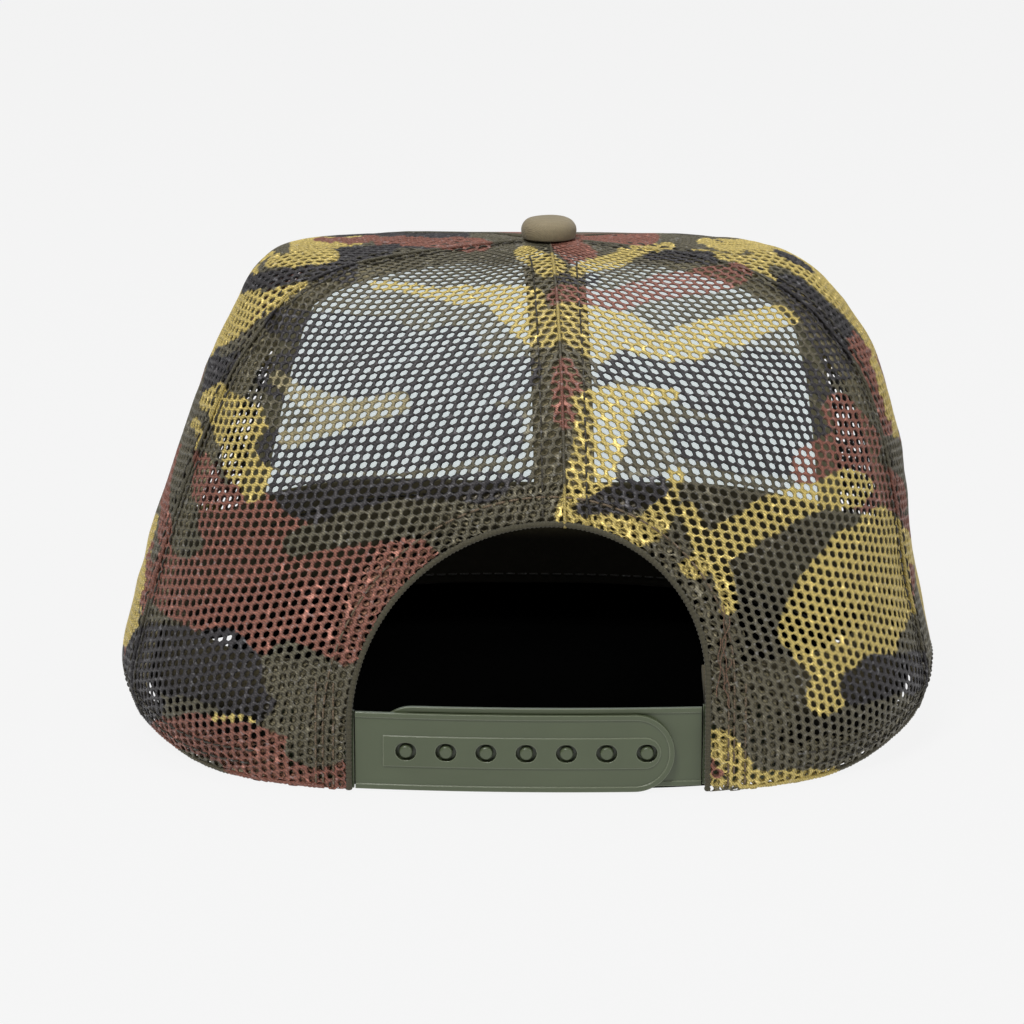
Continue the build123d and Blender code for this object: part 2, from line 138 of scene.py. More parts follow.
def crown_field(points):
    """Below 1 inside the crown's surface, and above 1 outside it."""
    centre, half, back, front, power = np.moveaxis(smooth(CROWN, CROWN_SLOPE, points[..., 2]), -1, 0)
    x, y = np.abs(points[..., 0] - centre) / half, points[..., 1]
    behind = y < 0
    depth = np.abs(y) / np.where(behind, back, front)
    power = np.where(behind, power, FRONT_POWER)
    return x**power + depth**power


def crown_normal(points):
    """The crown's outward normal near each point."""
    step = 0.05
    slope = [crown_field(points + step * axis) - crown_field(points - step * axis) for axis in np.eye(3)]
    return unit(np.stack(slope, -1), 1e-12)


def reach_at(turn, height):
    """How far the crown's surface is from the button's axis in a direction, at a height."""
    turn, height = np.broadcast_arrays(np.asarray(turn, float), np.asarray(height, float))
    low, high = np.zeros(turn.shape), np.full(turn.shape, 260.0)
    for _ in range(32):
        middle = (low + high) / 2
        outside = crown_field(around_button(turn, middle, height)) > 1
        high = np.where(outside, middle, high)
        low = np.where(outside, low, middle)
    return (low + high) / 2


def hem_at(turn):
    """The hem's height in a direction from the button's axis."""
    y = reach_at(turn, 10.0) * np.sin(np.radians(turn))
    return np.maximum(smooth(HEM, HEM_SLOPE, y)[..., 0], 0.0)


# The surface unrolled: for each whole degree, its profile at every millimetre up from the ground.
TURNS = np.arange(361)
V_LOW, V_STEPS = -5, 216
PROFILE_STEPS = 300
TOP_REACH = 1.6  # where the profiles stop, this near the button's axis


def unroll():
    """Reach and height at each whole degree and each millimetre up the profile, and each profile's length."""
    low, high = np.full(TURNS.shape, 60.0), np.full(TURNS.shape, CROWN_TOP)
    for _ in range(28):
        middle = (low + high) / 2
        over = reach_at(TURNS, middle) < TOP_REACH
        high, low = np.where(over, middle, high), np.where(over, low, middle)
    rise = np.sin(math.pi / 2 * np.arange(PROFILE_STEPS + 1) / PROFILE_STEPS)
    heights = V_LOW + (low[:, None] - V_LOW) * rise
    reaches = reach_at(TURNS[:, None], heights)
    reaches[:, -1] = TOP_REACH
    length = np.hypot(np.diff(reaches, axis=1), np.diff(heights, axis=1))
    length = np.concatenate([np.zeros((len(TURNS), 1)), np.cumsum(length, 1)], 1)
    grid_r, grid_z = np.empty((len(TURNS), V_STEPS)), np.empty((len(TURNS), V_STEPS))
    ends = np.empty(len(TURNS))
    for k in range(len(TURNS)):
        up = length[k] - np.interp(0.0, heights[k], length[k])
        grid_r[k] = np.interp(V_LOW + np.arange(V_STEPS), up, reaches[k])
        grid_z[k] = np.interp(V_LOW + np.arange(V_STEPS), up, heights[k])
        ends[k] = up[-1]
    return grid_r, grid_z, ends


GRID_R, GRID_Z, GRID_END = unroll()
GRID_HEM = hem_at(TURNS)
GRID_FOOT = np.array([np.interp(GRID_HEM[k], GRID_Z[k], V_LOW + np.arange(V_STEPS)) for k in TURNS])


def by_turn(values, turn):
    """A value kept for each whole degree, at any direction."""
    return np.interp(np.mod(turn, 360), TURNS, values)


def surface(turn, up, depth=0.0):
    """Points on the crown by direction and by length up the profile, moved inwards by depth."""
    turn, up = np.broadcast_arrays(np.asarray(turn, float), np.asarray(up, float))
    place = np.mod(turn, 360)
    i = np.minimum(place.astype(int), 359)
    j = np.clip((up - V_LOW).astype(int), 0, V_STEPS - 2)
    a, b = place - i, np.clip(up - V_LOW - j, 0, 1)

    def mixed(grid):
        return (grid[i, j] * (1 - a) + grid[i + 1, j] * a) * (1 - b) + (
            grid[i, j + 1] * (1 - a) + grid[i + 1, j + 1] * a
        ) * b

    r, z = mixed(GRID_R), mixed(GRID_Z)
    points = around_button(turn, r, z)
    return points - crown_normal(points) * np.asarray(depth)[..., None]


def back_point(x, z, depth=0.0):
    """The point on the crown's back surface with this x and z, moved inwards by depth."""
    x, z = np.broadcast_arrays(np.asarray(x, float), np.asarray(z, float))
    centre, half, back, _, power = np.moveaxis(smooth(CROWN, CROWN_SLOPE, z), -1, 0)
    share = np.clip(1 - (np.abs(x - centre) / half) ** power, 1e-6, 1)
    points = np.stack([x, -back * share ** (1 / power), z], -1)
    return points - crown_normal(points) * np.asarray(depth)[..., None]


def from_arch(x, z):
    """How far outside the arched opening a place seen from behind is, and the way straight out of it."""
    left = x < ARCH["apex_x"]
    centre_z = np.where(left, ARCH["left_z"], ARCH["right_z"])
    radius = np.where(left, ARCH_LEFT_RADIUS, ARCH_RIGHT_RADIUS)
    out_x, out_z = x - ARCH["apex_x"], np.maximum(z - centre_z, 0)
    size = np.maximum(np.hypot(out_x, out_z), 1e-9)
    return size - radius, out_x / size, out_z / size


# ------------------------------------------------------------ camouflage


def noise(points, scale, seed):
    """Smooth seeded noise from -1 to 1 in space."""
    place = points / scale
    cell = np.floor(place).astype(np.int64)
    f = place - cell
    f = f * f * (3 - 2 * f)
    total = np.zeros(len(points))
    for dx in (0, 1):
        for dy in (0, 1):
            for dz in (0, 1):
                h = (cell[:, 0] + dx) * 73856093 ^ (cell[:, 1] + dy) * 19349663
                h = h ^ (cell[:, 2] + dz) * 83492791
                h = (h ^ seed * 2654435761) & 0xFFFFFFFF
                h = ((h ^ (h >> 15)) * 2246822519) & 0xFFFFFFFF
                h = ((h ^ (h >> 13)) * 3266489917) & 0xFFFFFFFF
                value = ((h ^ (h >> 16)) & 0xFFFF) / 32767.5 - 1
                wx = f[:, 0] if dx else 1 - f[:, 0]
                wy = f[:, 1] if dy else 1 - f[:, 1]
                wz = f[:, 2] if dz else 1 - f[:, 2]
                total += value * wx * wy * wz
    return total


# Where the cap is looked at from, and the plane that the patches are drawn on: x to the right and z up, in
# millimetres at the cap's distance, from the middle of the back.
EYE = np.array((21.9, -983.8, 275.0))
LOOK = np.array((-0.02553, 0.97482, -0.22155))
RIGHT = np.array((0.99966, 0.02618, 0.0))
UP = np.cross(RIGHT, LOOK)
SEEN_SCALE, SEEN_RISE = 954.0, 70.0


def seen(points):
    """Where points of the cap lie on the plane that the patches are drawn on."""
    away = points - EYE
    ahead = away @ LOOK
    return SEEN_SCALE * (away @ RIGHT) / ahead, SEEN_SCALE * (away @ UP) / ahead + SEEN_RISE


OLIVE, YELLOW, BROWN, CHARCOAL, KHAKI = range(5)
INKS = np.array(((84, 79, 62), (185, 165, 94), (124, 78, 64), (46, 43, 45), (136, 126, 93))) / 255
INKS = np.where(INKS > 0.04045, ((INKS + 0.055) / 1.055) ** 2.4, INKS / 12.92)

# Patches of the print, each a brush stroke through places (x, z, half-width), painted in this order.
STROKES = (
    # the left back panel, from the side seam to the centre
    (BROWN, (-84, 80, 8), (-78, 66, 12), (-66, 62, 13), (-52, 57, 12), (-40, 54, 10), (-24, 54, 8)),
    (BROWN, (-80, 54, 12), (-66, 48, 14), (-50, 46, 12), (-38, 44, 10)),
    (BROWN, (-74, 40, 8), (-58, 38, 8), (-44, 38, 6)),
    (BROWN, (-88, 16, 4), (-72, 13, 6), (-54, 6, 7), (-42, 3, 6)),
    (CHARCOAL, (-93, 36, 6), (-83, 33, 9), (-72, 31, 10), (-66, 24, 7)),
    (OLIVE, (-56, 30, 7), (-47, 26, 8), (-44, 16, 8), (-50, 12, 6)),
    (YELLOW, (-75, 18.5, 1), (-65, 18, 1)),
    (CHARCOAL, (-60, 77, 3), (-48, 73, 6), (-30, 73, 6), (-12, 75, 4), (2, 78, 2)),
    (OLIVE, (-55, 62, 2.5), (-42, 66, 5), (-24, 68, 5), (-6, 66, 6), (10, 68, 6)),
    (YELLOW, (-75, 99, 3.5), (-69, 92, 6.5), (-66, 84, 7), (-65, 76, 4)),
    (OLIVE, (-81, 92, 3), (-83, 76, 4), (-82, 62, 4)),
    (CHARCOAL, (-58, 117, 4), (-46, 114, 6), (-34, 112, 7), (-22, 108, 6), (-12, 112, 4)),
    (CHARCOAL, (-56, 104, 7), (-40, 106, 7), (-26, 104, 8), (-12, 102, 8), (2, 104, 5)),
    (CHARCOAL, (-60, 86, 5), (-46, 86, 7), (-30, 88, 8), (-16, 90, 9), (-2, 90, 6)),
    (KHAKI, (-58, 104, 2), (-54, 100, 2.5), (-46, 95, 4), (-38, 95, 4), (-28, 97, 3)),
    (KHAKI, (-57, 89, 2), (-50, 91, 2.5), (-44, 92, 2.5)),
    (YELLOW, (-35, 127, 1.4), (-24, 125.5, 1.5), (-14, 124, 2), (-4, 124, 4), (3, 121, 6.5), (7, 115, 4.5)),
    (YELLOW, (-74, 111, 2), (-67, 118, 3), (-60, 123, 3), (-53, 127, 2)),
    (CHARCOAL, (-66, 128, 3), (-54, 129, 2.5), (-40, 130, 3)),
    (YELLOW, (-62, 134, 2), (-54, 133, 3), (-46, 134, 2.5)),
    (BROWN, (-48, 138, 2), (-30, 138, 2.5), (-8, 137, 3)),
    (YELLOW, (3, 135, 3), (9, 132, 4)),
    # beside the centre seam
    (BROWN, (14, 137, 4), (19, 133, 4)),
    (CHARCOAL, (12, 128, 2), (20, 128, 2)),
    (BROWN, (12, 124, 3), (24, 123, 3)),
    (YELLOW, (15, 117, 6), (26, 113, 8), (36, 108, 6)),
    (YELLOW, (30, 110, 4), (38, 111, 4.5), (47, 113.5, 5), (58, 116.5, 4.5), (70, 119, 2)),
    (CHARCOAL, (62, 108, 4), (72, 105, 4), (78, 100, 3)),
    (CHARCOAL, (42, 103, 6), (54, 100, 8), (66, 96, 8), (74, 90, 6)),
    (CHARCOAL, (23, 104, 3), (28, 106, 4), (35, 105, 4.5), (41, 103, 4)),
    (CHARCOAL, (44, 88, 4), (56, 86, 6), (68, 84, 5)),
    (BROWN, (12, 106, 2.5), (15, 100, 4), (13, 94, 3)),
    (YELLOW, (19, 98, 4), (26, 97, 4), (36, 98.5, 2.5), (40, 99, 1.5)),
    (YELLOW, (22, 93, 7), (22, 86, 7), (19, 78, 6), (16, 70, 6), (24, 64, 5), (34, 66, 4), (38, 72, 3.5),
     (41, 79, 2.5)),
    (CHARCOAL, (18, 72, 3), (28, 74, 4), (36, 76, 3)),
    # the right back panel
    (YELLOW, (16, 130, 2), (28, 134, 2.5), (39, 137, 2)),
    (BROWN, (27, 123, 3), (42, 127, 4), (56, 130, 4)),
    (CHARCOAL, (36, 134, 2), (50, 134, 2.5)),
    (YELLOW, (48, 138, 2), (56, 136, 2.5)),
    (CHARCOAL, (70, 126, 4), (78, 118, 5), (82, 106, 4)),
    (BROWN, (74, 80, 4), (81, 83, 7), (88, 78, 7), (96, 74, 5)),
    (BROWN, (82, 95, 5), (88, 88, 5)),
    (YELLOW, (91, 108, 2.5), (94, 98, 3), (96, 90, 2.5)),
    (YELLOW, (46, 56, 3), (53, 62, 4), (62, 68, 5), (74, 73, 5), (86, 76, 4)),
    (YELLOW, (44, 70, 2.5), (48, 62, 3), (52, 54, 3), (54, 46, 2)),
    (YELLOW, (72, 40, 5), (78, 48, 8), (86, 58, 8), (94, 64, 6), (100, 60, 4)),
    (YELLOW, (91, 66, 5), (96, 56, 6), (96, 46, 6), (91, 38, 6)),
    (YELLOW, (78, 36, 8), (84, 32, 9), (78, 24, 5), (92, 44, 7)),
    (CHARCOAL, (86, 26, 5), (95, 30, 6), (102, 30, 5)),
    (OLIVE, (54, 34, 5), (60, 22, 8), (66, 12, 9), (76, 12, 6)),
    (YELLOW, (49, 13, 2.5), (54, 11, 3.5), (58, 6, 4), (49, 4, 3)),
    (YELLOW, (58, 4, 3), (66, 3, 3), (76, 3, 3), (83, 4, 1.8)),
    (BROWN, (49.5, 8, 1.8), (51.5, 5.5, 1.6)),
    # what shows of the side panels
    (YELLOW, (-91, 66, 5), (-94, 52, 5), (-96, 40, 4)),
    (BROWN, (-90, 62, 1.6), (-92, 48, 1.8)),
    (CHARCOAL, (-94, 32, 6), (-92, 22, 5)),
)
STROKE_STEP = 2.5
# A stroke reaches less far into the cap than across it, by this share, and not at all past this y.
DEPTH_SHARE, DEEPEST_Y = 0.35, 60


def running(lengths):
    """How far along a line each of its points is, from the lengths between them."""
    return np.concatenate([[0], np.cumsum(lengths)])


def stroke_depths():
    """Every stroke as close-set places, with the depth of the cap's near side at each."""
    turn, up = np.meshgrid(TURNS[:-1], np.arange(0, 200, 2.0))
    near = surface(turn.ravel(), np.minimum(up.ravel(), GRID_END[turn.ravel()]))
    near = near[((EYE - near) * crown_normal(near)).sum(1) > 0]
    near_x, near_z = seen(near)
    found = []
    for ink, *path in STROKES:
        path = np.array(path, float)
        run = running(np.hypot(*np.diff(path[:, :2], axis=0).T))
        places = np.linspace(0, run[-1], max(2, int(run[-1] / STROKE_STEP) + 1))
        x, z, half = (np.interp(places, run, path[:, k]) for k in range(3))
        nearest = ((near_x[None] - x[:, None]) ** 2 + (near_z[None] - z[:, None]) ** 2).argmin(1)
        found.append((ink, x, z, near[nearest, 1], half))
    return found


PLACED_STROKES = stroke_depths()


def jostled(points, amount, scale, seed):
    """How far seeded noise moves points, on each axis."""
    return amount * np.stack([noise(points, scale, seed + k) for k in range(3)], 1)


def wild(points):
    """A print of its own for the parts that no stroke describes: the index of each point's ink."""
    points = points + jostled(points, 4, 11, 70)
    ink = np.full(len(points), OLIVE)
    patches = ((YELLOW, 27, 5, 0.12), (BROWN, 25, 9, 0.2), (CHARCOAL, 23, 14, 0.26))
    for colour, scale, seed, limit in patches:
        ink[noise(points * (1, 1, 1.5), scale, seed) > limit] = colour
    return ink


def inks(points, drawn_base=False):
    """The print's colour at each point. drawn_base starts from plain olive in place of the wild print."""
    ink = np.full(len(points), OLIVE) if drawn_base else wild(points)
    x, z = seen(points + jostled(points, 1.5, 8, 20) + jostled(points, 0.5, 2.6, 30))
    for colour, xs, zs, ys, half in PLACED_STROKES:
        reach = half.max() + 1
        box = (x > xs.min() - reach) & (x < xs.max() + reach)
        box &= (z > zs.min() - reach) & (z < zs.max() + reach)
        near = np.flatnonzero(box & (points[:, 1] < DEEPEST_Y))
        if not len(near):
            continue
        gap = (x[near, None] - xs) ** 2 + (z[near, None] - zs) ** 2
        gap += (DEPTH_SHARE * (points[near, 1, None] - ys)) ** 2
        ink[near[(np.sqrt(gap) < half).any(1)]] = colour
    return INKS[ink]


# ------------------------------------------------------------ meshes


def make(name, points, faces, material, slot, colours=None):
    """One piece of the crown from points in millimetres and faces, with colours at its points if it has any:
    the print, and on the nets painted shade and painted glints too.
    """
    mesh = bpy.data.meshes.new(name)
    faces = [np.asarray(f) for f in (faces if isinstance(faces, list) else [faces])]
    counts = np.concatenate([np.full(len(f), f.shape[1]) for f in faces])
    corners = np.concatenate([f.ravel() for f in faces])
    mesh.vertices.add(len(points))
    mesh.vertices.foreach_set("co", (np.asarray(points) * MM).astype(np.float32).ravel())
    mesh.loops.add(len(corners))
    mesh.loops.foreach_set("vertex_index", corners.astype(np.int32))
    mesh.polygons.add(len(counts))
    mesh.polygons.foreach_set("loop_start", running(counts)[:-1].astype(np.int32))
    mesh.polygons.foreach_set("loop_total", counts.astype(np.int32))
    mesh.polygons.foreach_set("use_smooth", np.ones(len(counts), bool))
    mesh.update(calc_edges=True)
    mesh.validate()
    if colours is not None:
        # The print, with painted shade and painted glints on the nets.
        layer = mesh.color_attributes.new("print", "FLOAT_COLOR", "POINT")
        rgba = np.ones((len(points), 4), np.float32)
        rgba[:, :3] = colours
        layer.data.foreach_set("color", rgba.ravel())
    mesh.materials.append(material)
    piece = bpy.data.objects.new(name, mesh)
    bpy.context.scene.collection.objects.link(piece)
    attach(piece, "crown")
    return piece


def quads(rows, columns, wrap=False):
    """Quads over a grid of points numbered row by row. wrap joins each row's last point to its first."""
    across = np.arange(columns if wrap else columns - 1)
    row, j = np.meshgrid(columns * np.arange(rows - 1), across, indexing="ij")
    k, after = (j + 1) % columns, row + columns
    return np.stack([row + j, row + k, after + k, after + j], -1).reshape(-1, 4)


def tube_faces(rings, around):
    """Faces of a closed tube: its sides, and a cap at each end."""
    cap = np.arange(around)
    return [quads(rings, around, wrap=True), np.stack([cap[::-1], cap + (rings - 1) * around])]


def slab(outer, inner):
    """Points and faces of the closed solid between two grids of points."""
    rows, columns = outer.shape[:2]
    count = rows * columns
    index = np.arange(count).reshape(rows, columns)
    skin = quads(rows, columns)
    rim = np.concatenate([index[0], index[1:, -1], index[-1, -2::-1], index[-2:0:-1, 0]])
    after = np.roll(rim, -1)
    sides = np.stack([after, rim, rim + count, after + count], -1)
    points = np.concatenate([outer.reshape(-1, 3), inner.reshape(-1, 3)])
    return points, np.concatenate([skin, skin[:, ::-1] + count, sides])


def sweep(path, side, normal, profile, scale=None):
    """Points and faces of a closed solid swept along path. profile gives (side, normal) places round it."""
    profile = np.asarray(profile, float)
    steps, around = len(path), len(profile)
    scale = np.ones(steps) if scale is None else scale
    ring = path[:, None] + scale[:, None, None] * (
        side[:, None] * profile[None, :, 0, None] + normal[:, None] * profile[None, :, 1, None]
    )
    return ring.reshape(-1, 3), tube_faces(steps, around)


def round_profile(wide, thick, count, power=2.0):
    """A round or softly square outline, half as wide and thick as wide and thick say."""
    turn = 2 * math.pi * np.arange(count) / count
    x, y = np.cos(turn), np.sin(turn)
    return np.stack(
        [wide * np.sign(x) * np.abs(x) ** (2 / power), thick * np.sign(y) * np.abs(y) ** (2 / power)], -1
    )


def bead(path, profile, scale=None, normal=None):
    """Points and faces of a solid that lies along a path on the crown, or across another normal."""
    tangent = unit(np.gradient(path, axis=0))
    side = unit(np.cross(tangent, crown_normal(path) if normal is None else normal))
    return sweep(path, side, np.cross(side, tangent), profile, scale)


def run_of(path):
    """How far along a path each of its points is."""
    return running(np.linalg.norm(np.diff(path, axis=0), axis=1))


def at(places, run, values):
    """A path's points, or other threes of numbers along it, at any places along it."""
    return np.stack([np.interp(places, run, values[:, k]) for k in range(3)], -1)


def resampled(path, step):
    """A path's points at even steps along it."""
    run = run_of(path)
    return at(np.arange(0, run[-1], step), run, path)


def joined(parts):
    """Several (points, faces) as one."""
    points, groups, count = [], {}, 0
    for part_points, part_faces in parts:
        for faces in part_faces if isinstance(part_faces, list) else [part_faces]:
            groups.setdefault(faces.shape[1], []).append(faces + count)
        points.append(part_points)
        count += len(part_points)
    return np.concatenate(points), [np.concatenate(g) for g in groups.values()]


# A row of stitches: how long each is, from its start to the next one's, and how thick the thread is.
STITCH, STITCH_PITCH, THREAD = 2.5, 3.3, 0.24
# The places along one stitch, with its thread's rise and size there. Both ends dip into the cloth.
STITCH_PLACES = STITCH * np.array((0.0, 0.12, 0.5, 0.88, 1.0))
STITCH_RISE = THREAD * np.array((-1.6, -0.3, 0.25, -0.3, -1.6))
STITCH_SIZE = THREAD * np.array((0.7, 1, 1.1, 1, 0.7))


def stitches(paths, normals=None, lift=0.1):
    """Points and faces of rows of stitches, each a short thread that dips at both ends."""
    parts = []
    around = 6
    circle = round_profile(1, 1, around)
    each = len(STITCH_PLACES) * around
    for n, path in enumerate(paths):
        run = run_of(path)
        count = int((run[-1] - STITCH) / STITCH_PITCH)
        if count < 1:
            continue
        places = (STITCH_PITCH * np.arange(count) + 0.4)[:, None] + STITCH_PLACES
        line = at(places, run, path)
        normal = crown_normal(line) if normals is None else at(places, run, normals[n])
        side = unit(np.cross(unit(np.gradient(line, axis=1)), normal))
        line = line + normal * (lift + STITCH_RISE)[None, :, None]
        across, out = (circle[None, None, :, k, None] for k in (0, 1))
        ring = side[:, :, None] * across + normal[:, :, None] * out
        ring = line[:, :, None] + STITCH_SIZE[None, :, None, None] * ring
        shift = each * np.arange(count)[:, None, None]
        faces = [(f[None] + shift).reshape(-1, f.shape[1]) for f in tube_faces(len(STITCH_PLACES), around)]
        parts.append((ring.reshape(-1, 3), faces))
    return joined(parts)


# ------------------------------------------------------------ materials


def shader(name, base, rough, sheen=0.0, specular=0.4, metallic=0.0):
    """A material with its node tree and its shader, set to these values."""
    material = bpy.data.materials.new(name)
    material.use_nodes = True
    node = material.node_tree.nodes["Principled BSDF"]
    node.inputs["Base Color"].default_value = (*base, 1)
    node.inputs["Roughness"].default_value = rough
    node.inputs["Sheen Weight"].default_value = sheen
    node.inputs["Specular IOR Level"].default_value = specular
    node.inputs["Metallic"].default_value = metallic
    return material, material.node_tree, node


def linear(*rgb):
    """An sRGB colour from 0 to 255 as linear numbers."""
    return tuple(((c / 255 + 0.055) / 1.055) ** 2.4 if c > 10 else c / 255 / 12.92 for c in rgb)


def add(tree, kind, **values):
    """A node with some of its properties and inputs set. A socket given for an input is linked to it."""
    node = tree.nodes.new(kind)
    for key, value in values.items():
        if hasattr(node, key):
            setattr(node, key, value)
        elif hasattr(value, "node"):
            tree.links.new(value, node.inputs[key.replace("_", " ")])
        else:
            node.inputs[key.replace("_", " ")].default_value = value
    return node


def object_places(tree, stretch=(1, 1, 1)):
    """The piece's own coordinates, stretched along each axis."""
    places = add(tree, "ShaderNodeTexCoord").outputs["Object"]
    if stretch == (1, 1, 1):
        return places
    return add(tree, "ShaderNodeMapping", Scale=stretch, Vector=places).outputs["Vector"]


def speckle(tree, places, scale, detail, distortion=0.0):
    """Noise from 0 to 1, with a grain of about one over scale, in metres."""
    node = add(tree, "ShaderNodeTexNoise", Scale=scale, Detail=detail, Distortion=distortion, Vector=places)
    return node.outputs["Fac"]


def ranged(tree, value, low, high):
    """A value from 0 to 1 turned into one from low to high."""
    return add(tree, "ShaderNodeMapRange", To_Min=low, To_Max=high, Value=value).outputs["Result"]


def mixed_colour(tree, factor, below, above, blend="MIX"):
    """One colour over another, by a factor. Each colour is a socket or three numbers."""
    mix = add(tree, "ShaderNodeMix", data_type="RGBA", blend_type=blend, Factor=factor)
    for name, colour in (("A", below), ("B", above)):
        if hasattr(colour, "node"):
            tree.links.new(colour, mix.inputs[name])
        else:
            mix.inputs[name].default_value = (*colour, 1)
    return mix.outputs["Result"]


def tinted(tree, colour, value, low, high):
    """A colour made darker or lighter by a value from 0 to 1."""
    amount = ranged(tree, value, low, high)
    grey = add(tree, "ShaderNodeCombineColor", Red=amount, Green=amount, Blue=amount)
    return mixed_colour(tree, 1, colour, grey.outputs["Color"], "MULTIPLY")


def bumped(tree, node, height, strength, distance, before=None):
    """A bump on a shader from a height, on top of an earlier one."""
    bump = add(tree, "ShaderNodeBump", Strength=strength, Distance=distance, Height=height)
    if before is not None:
        tree.links.new(before, bump.inputs["Normal"])
    tree.links.new(bump.outputs["Normal"], node.inputs["Normal"])
    return bump.outputs["Normal"]


def painted(tree, node, colour, rough):
    """Gives a shader its colour and its roughness."""
    tree.links.new(colour, node.inputs["Base Color"])
    tree.links.new(rough, node.inputs["Roughness"])


def fabric(
    name, base, rough, sheen, weave=0.0005, depth=0.00012, printed=False, twill=True, specular=0.3
):
    """Woven cloth: crossed ribs, uneven dye and a soft roughness. weave is the ribs' width in metres."""
    material, tree, node = shader(name, base, rough, sheen, specular)
    places = object_places(tree)
    uneven, fine = speckle(tree, places, 60.0, 4.0), speckle(tree, places, 2600.0, 2.0)
    colour = base
    if printed:
        colour = add(tree, "ShaderNodeAttribute", attribute_name="print").outputs["Color"]
    colour = tinted(tree, tinted(tree, colour, uneven, 0.84, 1.14), fine, 0.75, 1.25)
    painted(tree, node, colour, ranged(tree, fine, rough - 0.12, rough + 0.12))
    before = None
    for direction in ("DIAGONAL", "Z") if twill else ("X", "Z"):
        wave = add(tree, "ShaderNodeTexWave", Scale=1 / weave / 2, Distortion=0.6, Vector=places)
        wave.bands_direction = direction
        before = bumped(tree, node, wave.outputs["Fac"], 0.5, depth, before)
    bumped(tree, node, fine, 0.4, depth, before)
    return material


def yarn(name, rough, base=None):
    """Knitted filaments: crossing strands with painted shade between them, and painted glints. With no base
    it takes the colours at its points.
    """
    material, tree, node = shader(name, base or (0.2, 0.2, 0.2), rough, 0.03, 0.42)
    places = object_places(tree)
    dashes, shade = speckle(tree, places, 1500.0, 2.0), speckle(tree, places, 45.0, 3.0)
    glints = speckle(tree, object_places(tree, (1, 0.5, 1.4)), 800.0, 1.0)
    wave = add(tree, "ShaderNodeTexWave", Scale=700.0, Distortion=5.0, Detail_Scale=3.0, Vector=places)
    wave.bands_direction = "DIAGONAL"
    strands = wave.outputs["Fac"]
    colour = base
    if base is None:
        colour = add(tree, "ShaderNodeAttribute", attribute_name="print").outputs["Color"]
    # The wave darkens the gaps between strands as painted shade; the other two are uneven tone.
    for value, low, high in ((strands, 0.6, 1.25), (dashes, 0.5, 1.5), (shade, 0.8, 1.2)):
        colour = tinted(tree, colour, value, low, high)
    # Painted glints: a pale screen where the stretched noise is high.
    painted_glint = add(tree, "ShaderNodeMapRange", interpolation_type="SMOOTHSTEP", From_Min=0.62, From_Max=0.74)
    painted_glint.inputs["To Max"].default_value = 0.2
    tree.links.new(glints, painted_glint.inputs["Value"])
    colour = mixed_colour(tree, painted_glint.outputs["Result"], colour, (0.5, 0.5, 0.52), "SCREEN")
    painted(tree, node, colour, ranged(tree, dashes, rough - 0.16, rough + 0.2))
    bumped(tree, node, dashes, 0.4, 0.00015, bumped(tree, node, strands, 0.6, 0.00015))
    return material


def foam_material():
    """Thin white foam, laminated and finely pored, with a glow that stands for light coming through it."""
    white = linear(232, 236, 236)
    material, tree, node = shader("white_foam", white, 0.9, 0.1, 0.2)
    places = object_places(tree)
    pores = add(tree, "ShaderNodeTexVoronoi", Scale=1500.0, Vector=places).outputs["Distance"]
    soft = speckle(tree, places, 110.0, 5.0)
    colour = tinted(tree, tinted(tree, white, soft, 0.9, 1.06), pores, 0.88, 1.05)
    tree.links.new(colour, node.inputs["Base Color"])
    bumped(tree, node, soft, 0.25, 0.0006, bumped(tree, node, pores, 0.5, 0.0002))
    node.inputs["Emission Color"].default_value = (*linear(206, 215, 216), 1)
    node.inputs["Emission Strength"].default_value = 0.8
    return material


def plastic_material():
    """Moulded olive polyethylene: satin, slightly mottled, with fine scuffs, and lighter edges that are
    partly wear and partly painted highlight.
    """
    base = linear(75, 84, 60)
    material, tree, node = shader("strap_plastic", base, 0.34, 0.0, 0.6)
    places = object_places(tree)
    mottle, grain = speckle(tree, places, 90.0, 4.0), speckle(tree, places, 2400.0, 2.0)
    scuffs = speckle(tree, object_places(tree, (0.15, 1, 1)), 240.0, 6.0, 1.5)
    rounded = add(tree, "ShaderNodeBevel", samples=6, Radius=0.00035).outputs["Normal"]
    alike = add(tree, "ShaderNodeVectorMath", operation="DOT_PRODUCT")
    tree.links.new(rounded, alike.inputs[0])
    tree.links.new(add(tree, "ShaderNodeNewGeometry").outputs["Normal"], alike.inputs[1])
    # Lighter edges where the bevel bends the normal: partly wear, partly painted highlight.
    edge = add(tree, "ShaderNodeMapRange", From_Min=0.995, From_Max=0.8, To_Max=0.55)
    tree.links.new(alike.outputs["Value"], edge.inputs["Value"])
    colour = tinted(tree, base, mottle, 0.9, 1.1)
    colour = mixed_colour(tree, edge.outputs["Result"], colour, linear(168, 174, 150))
    painted(tree, node, colour, ranged(tree, scuffs, 0.2, 0.46))
    bumped(tree, node, mottle, 0.15, 0.0004, bumped(tree, node, grain, 0.2, 0.00006, rounded))
    return material


def metal_material():
    """Pressed and lightly brushed metal."""
    base = linear(128, 124, 112)
    material, tree, node = shader("button_metal", base, 0.35, 0.0, 0.5, 1.0)
    brush = speckle(tree, object_places(tree, (1, 0.1, 1)), 1200.0, 3.0)
    painted(tree, node, tinted(tree, base, brush, 0.85, 1.1), ranged(tree, brush, 0.25, 0.5))
    bumped(tree, node, brush, 0.15, 0.00005)
    return material


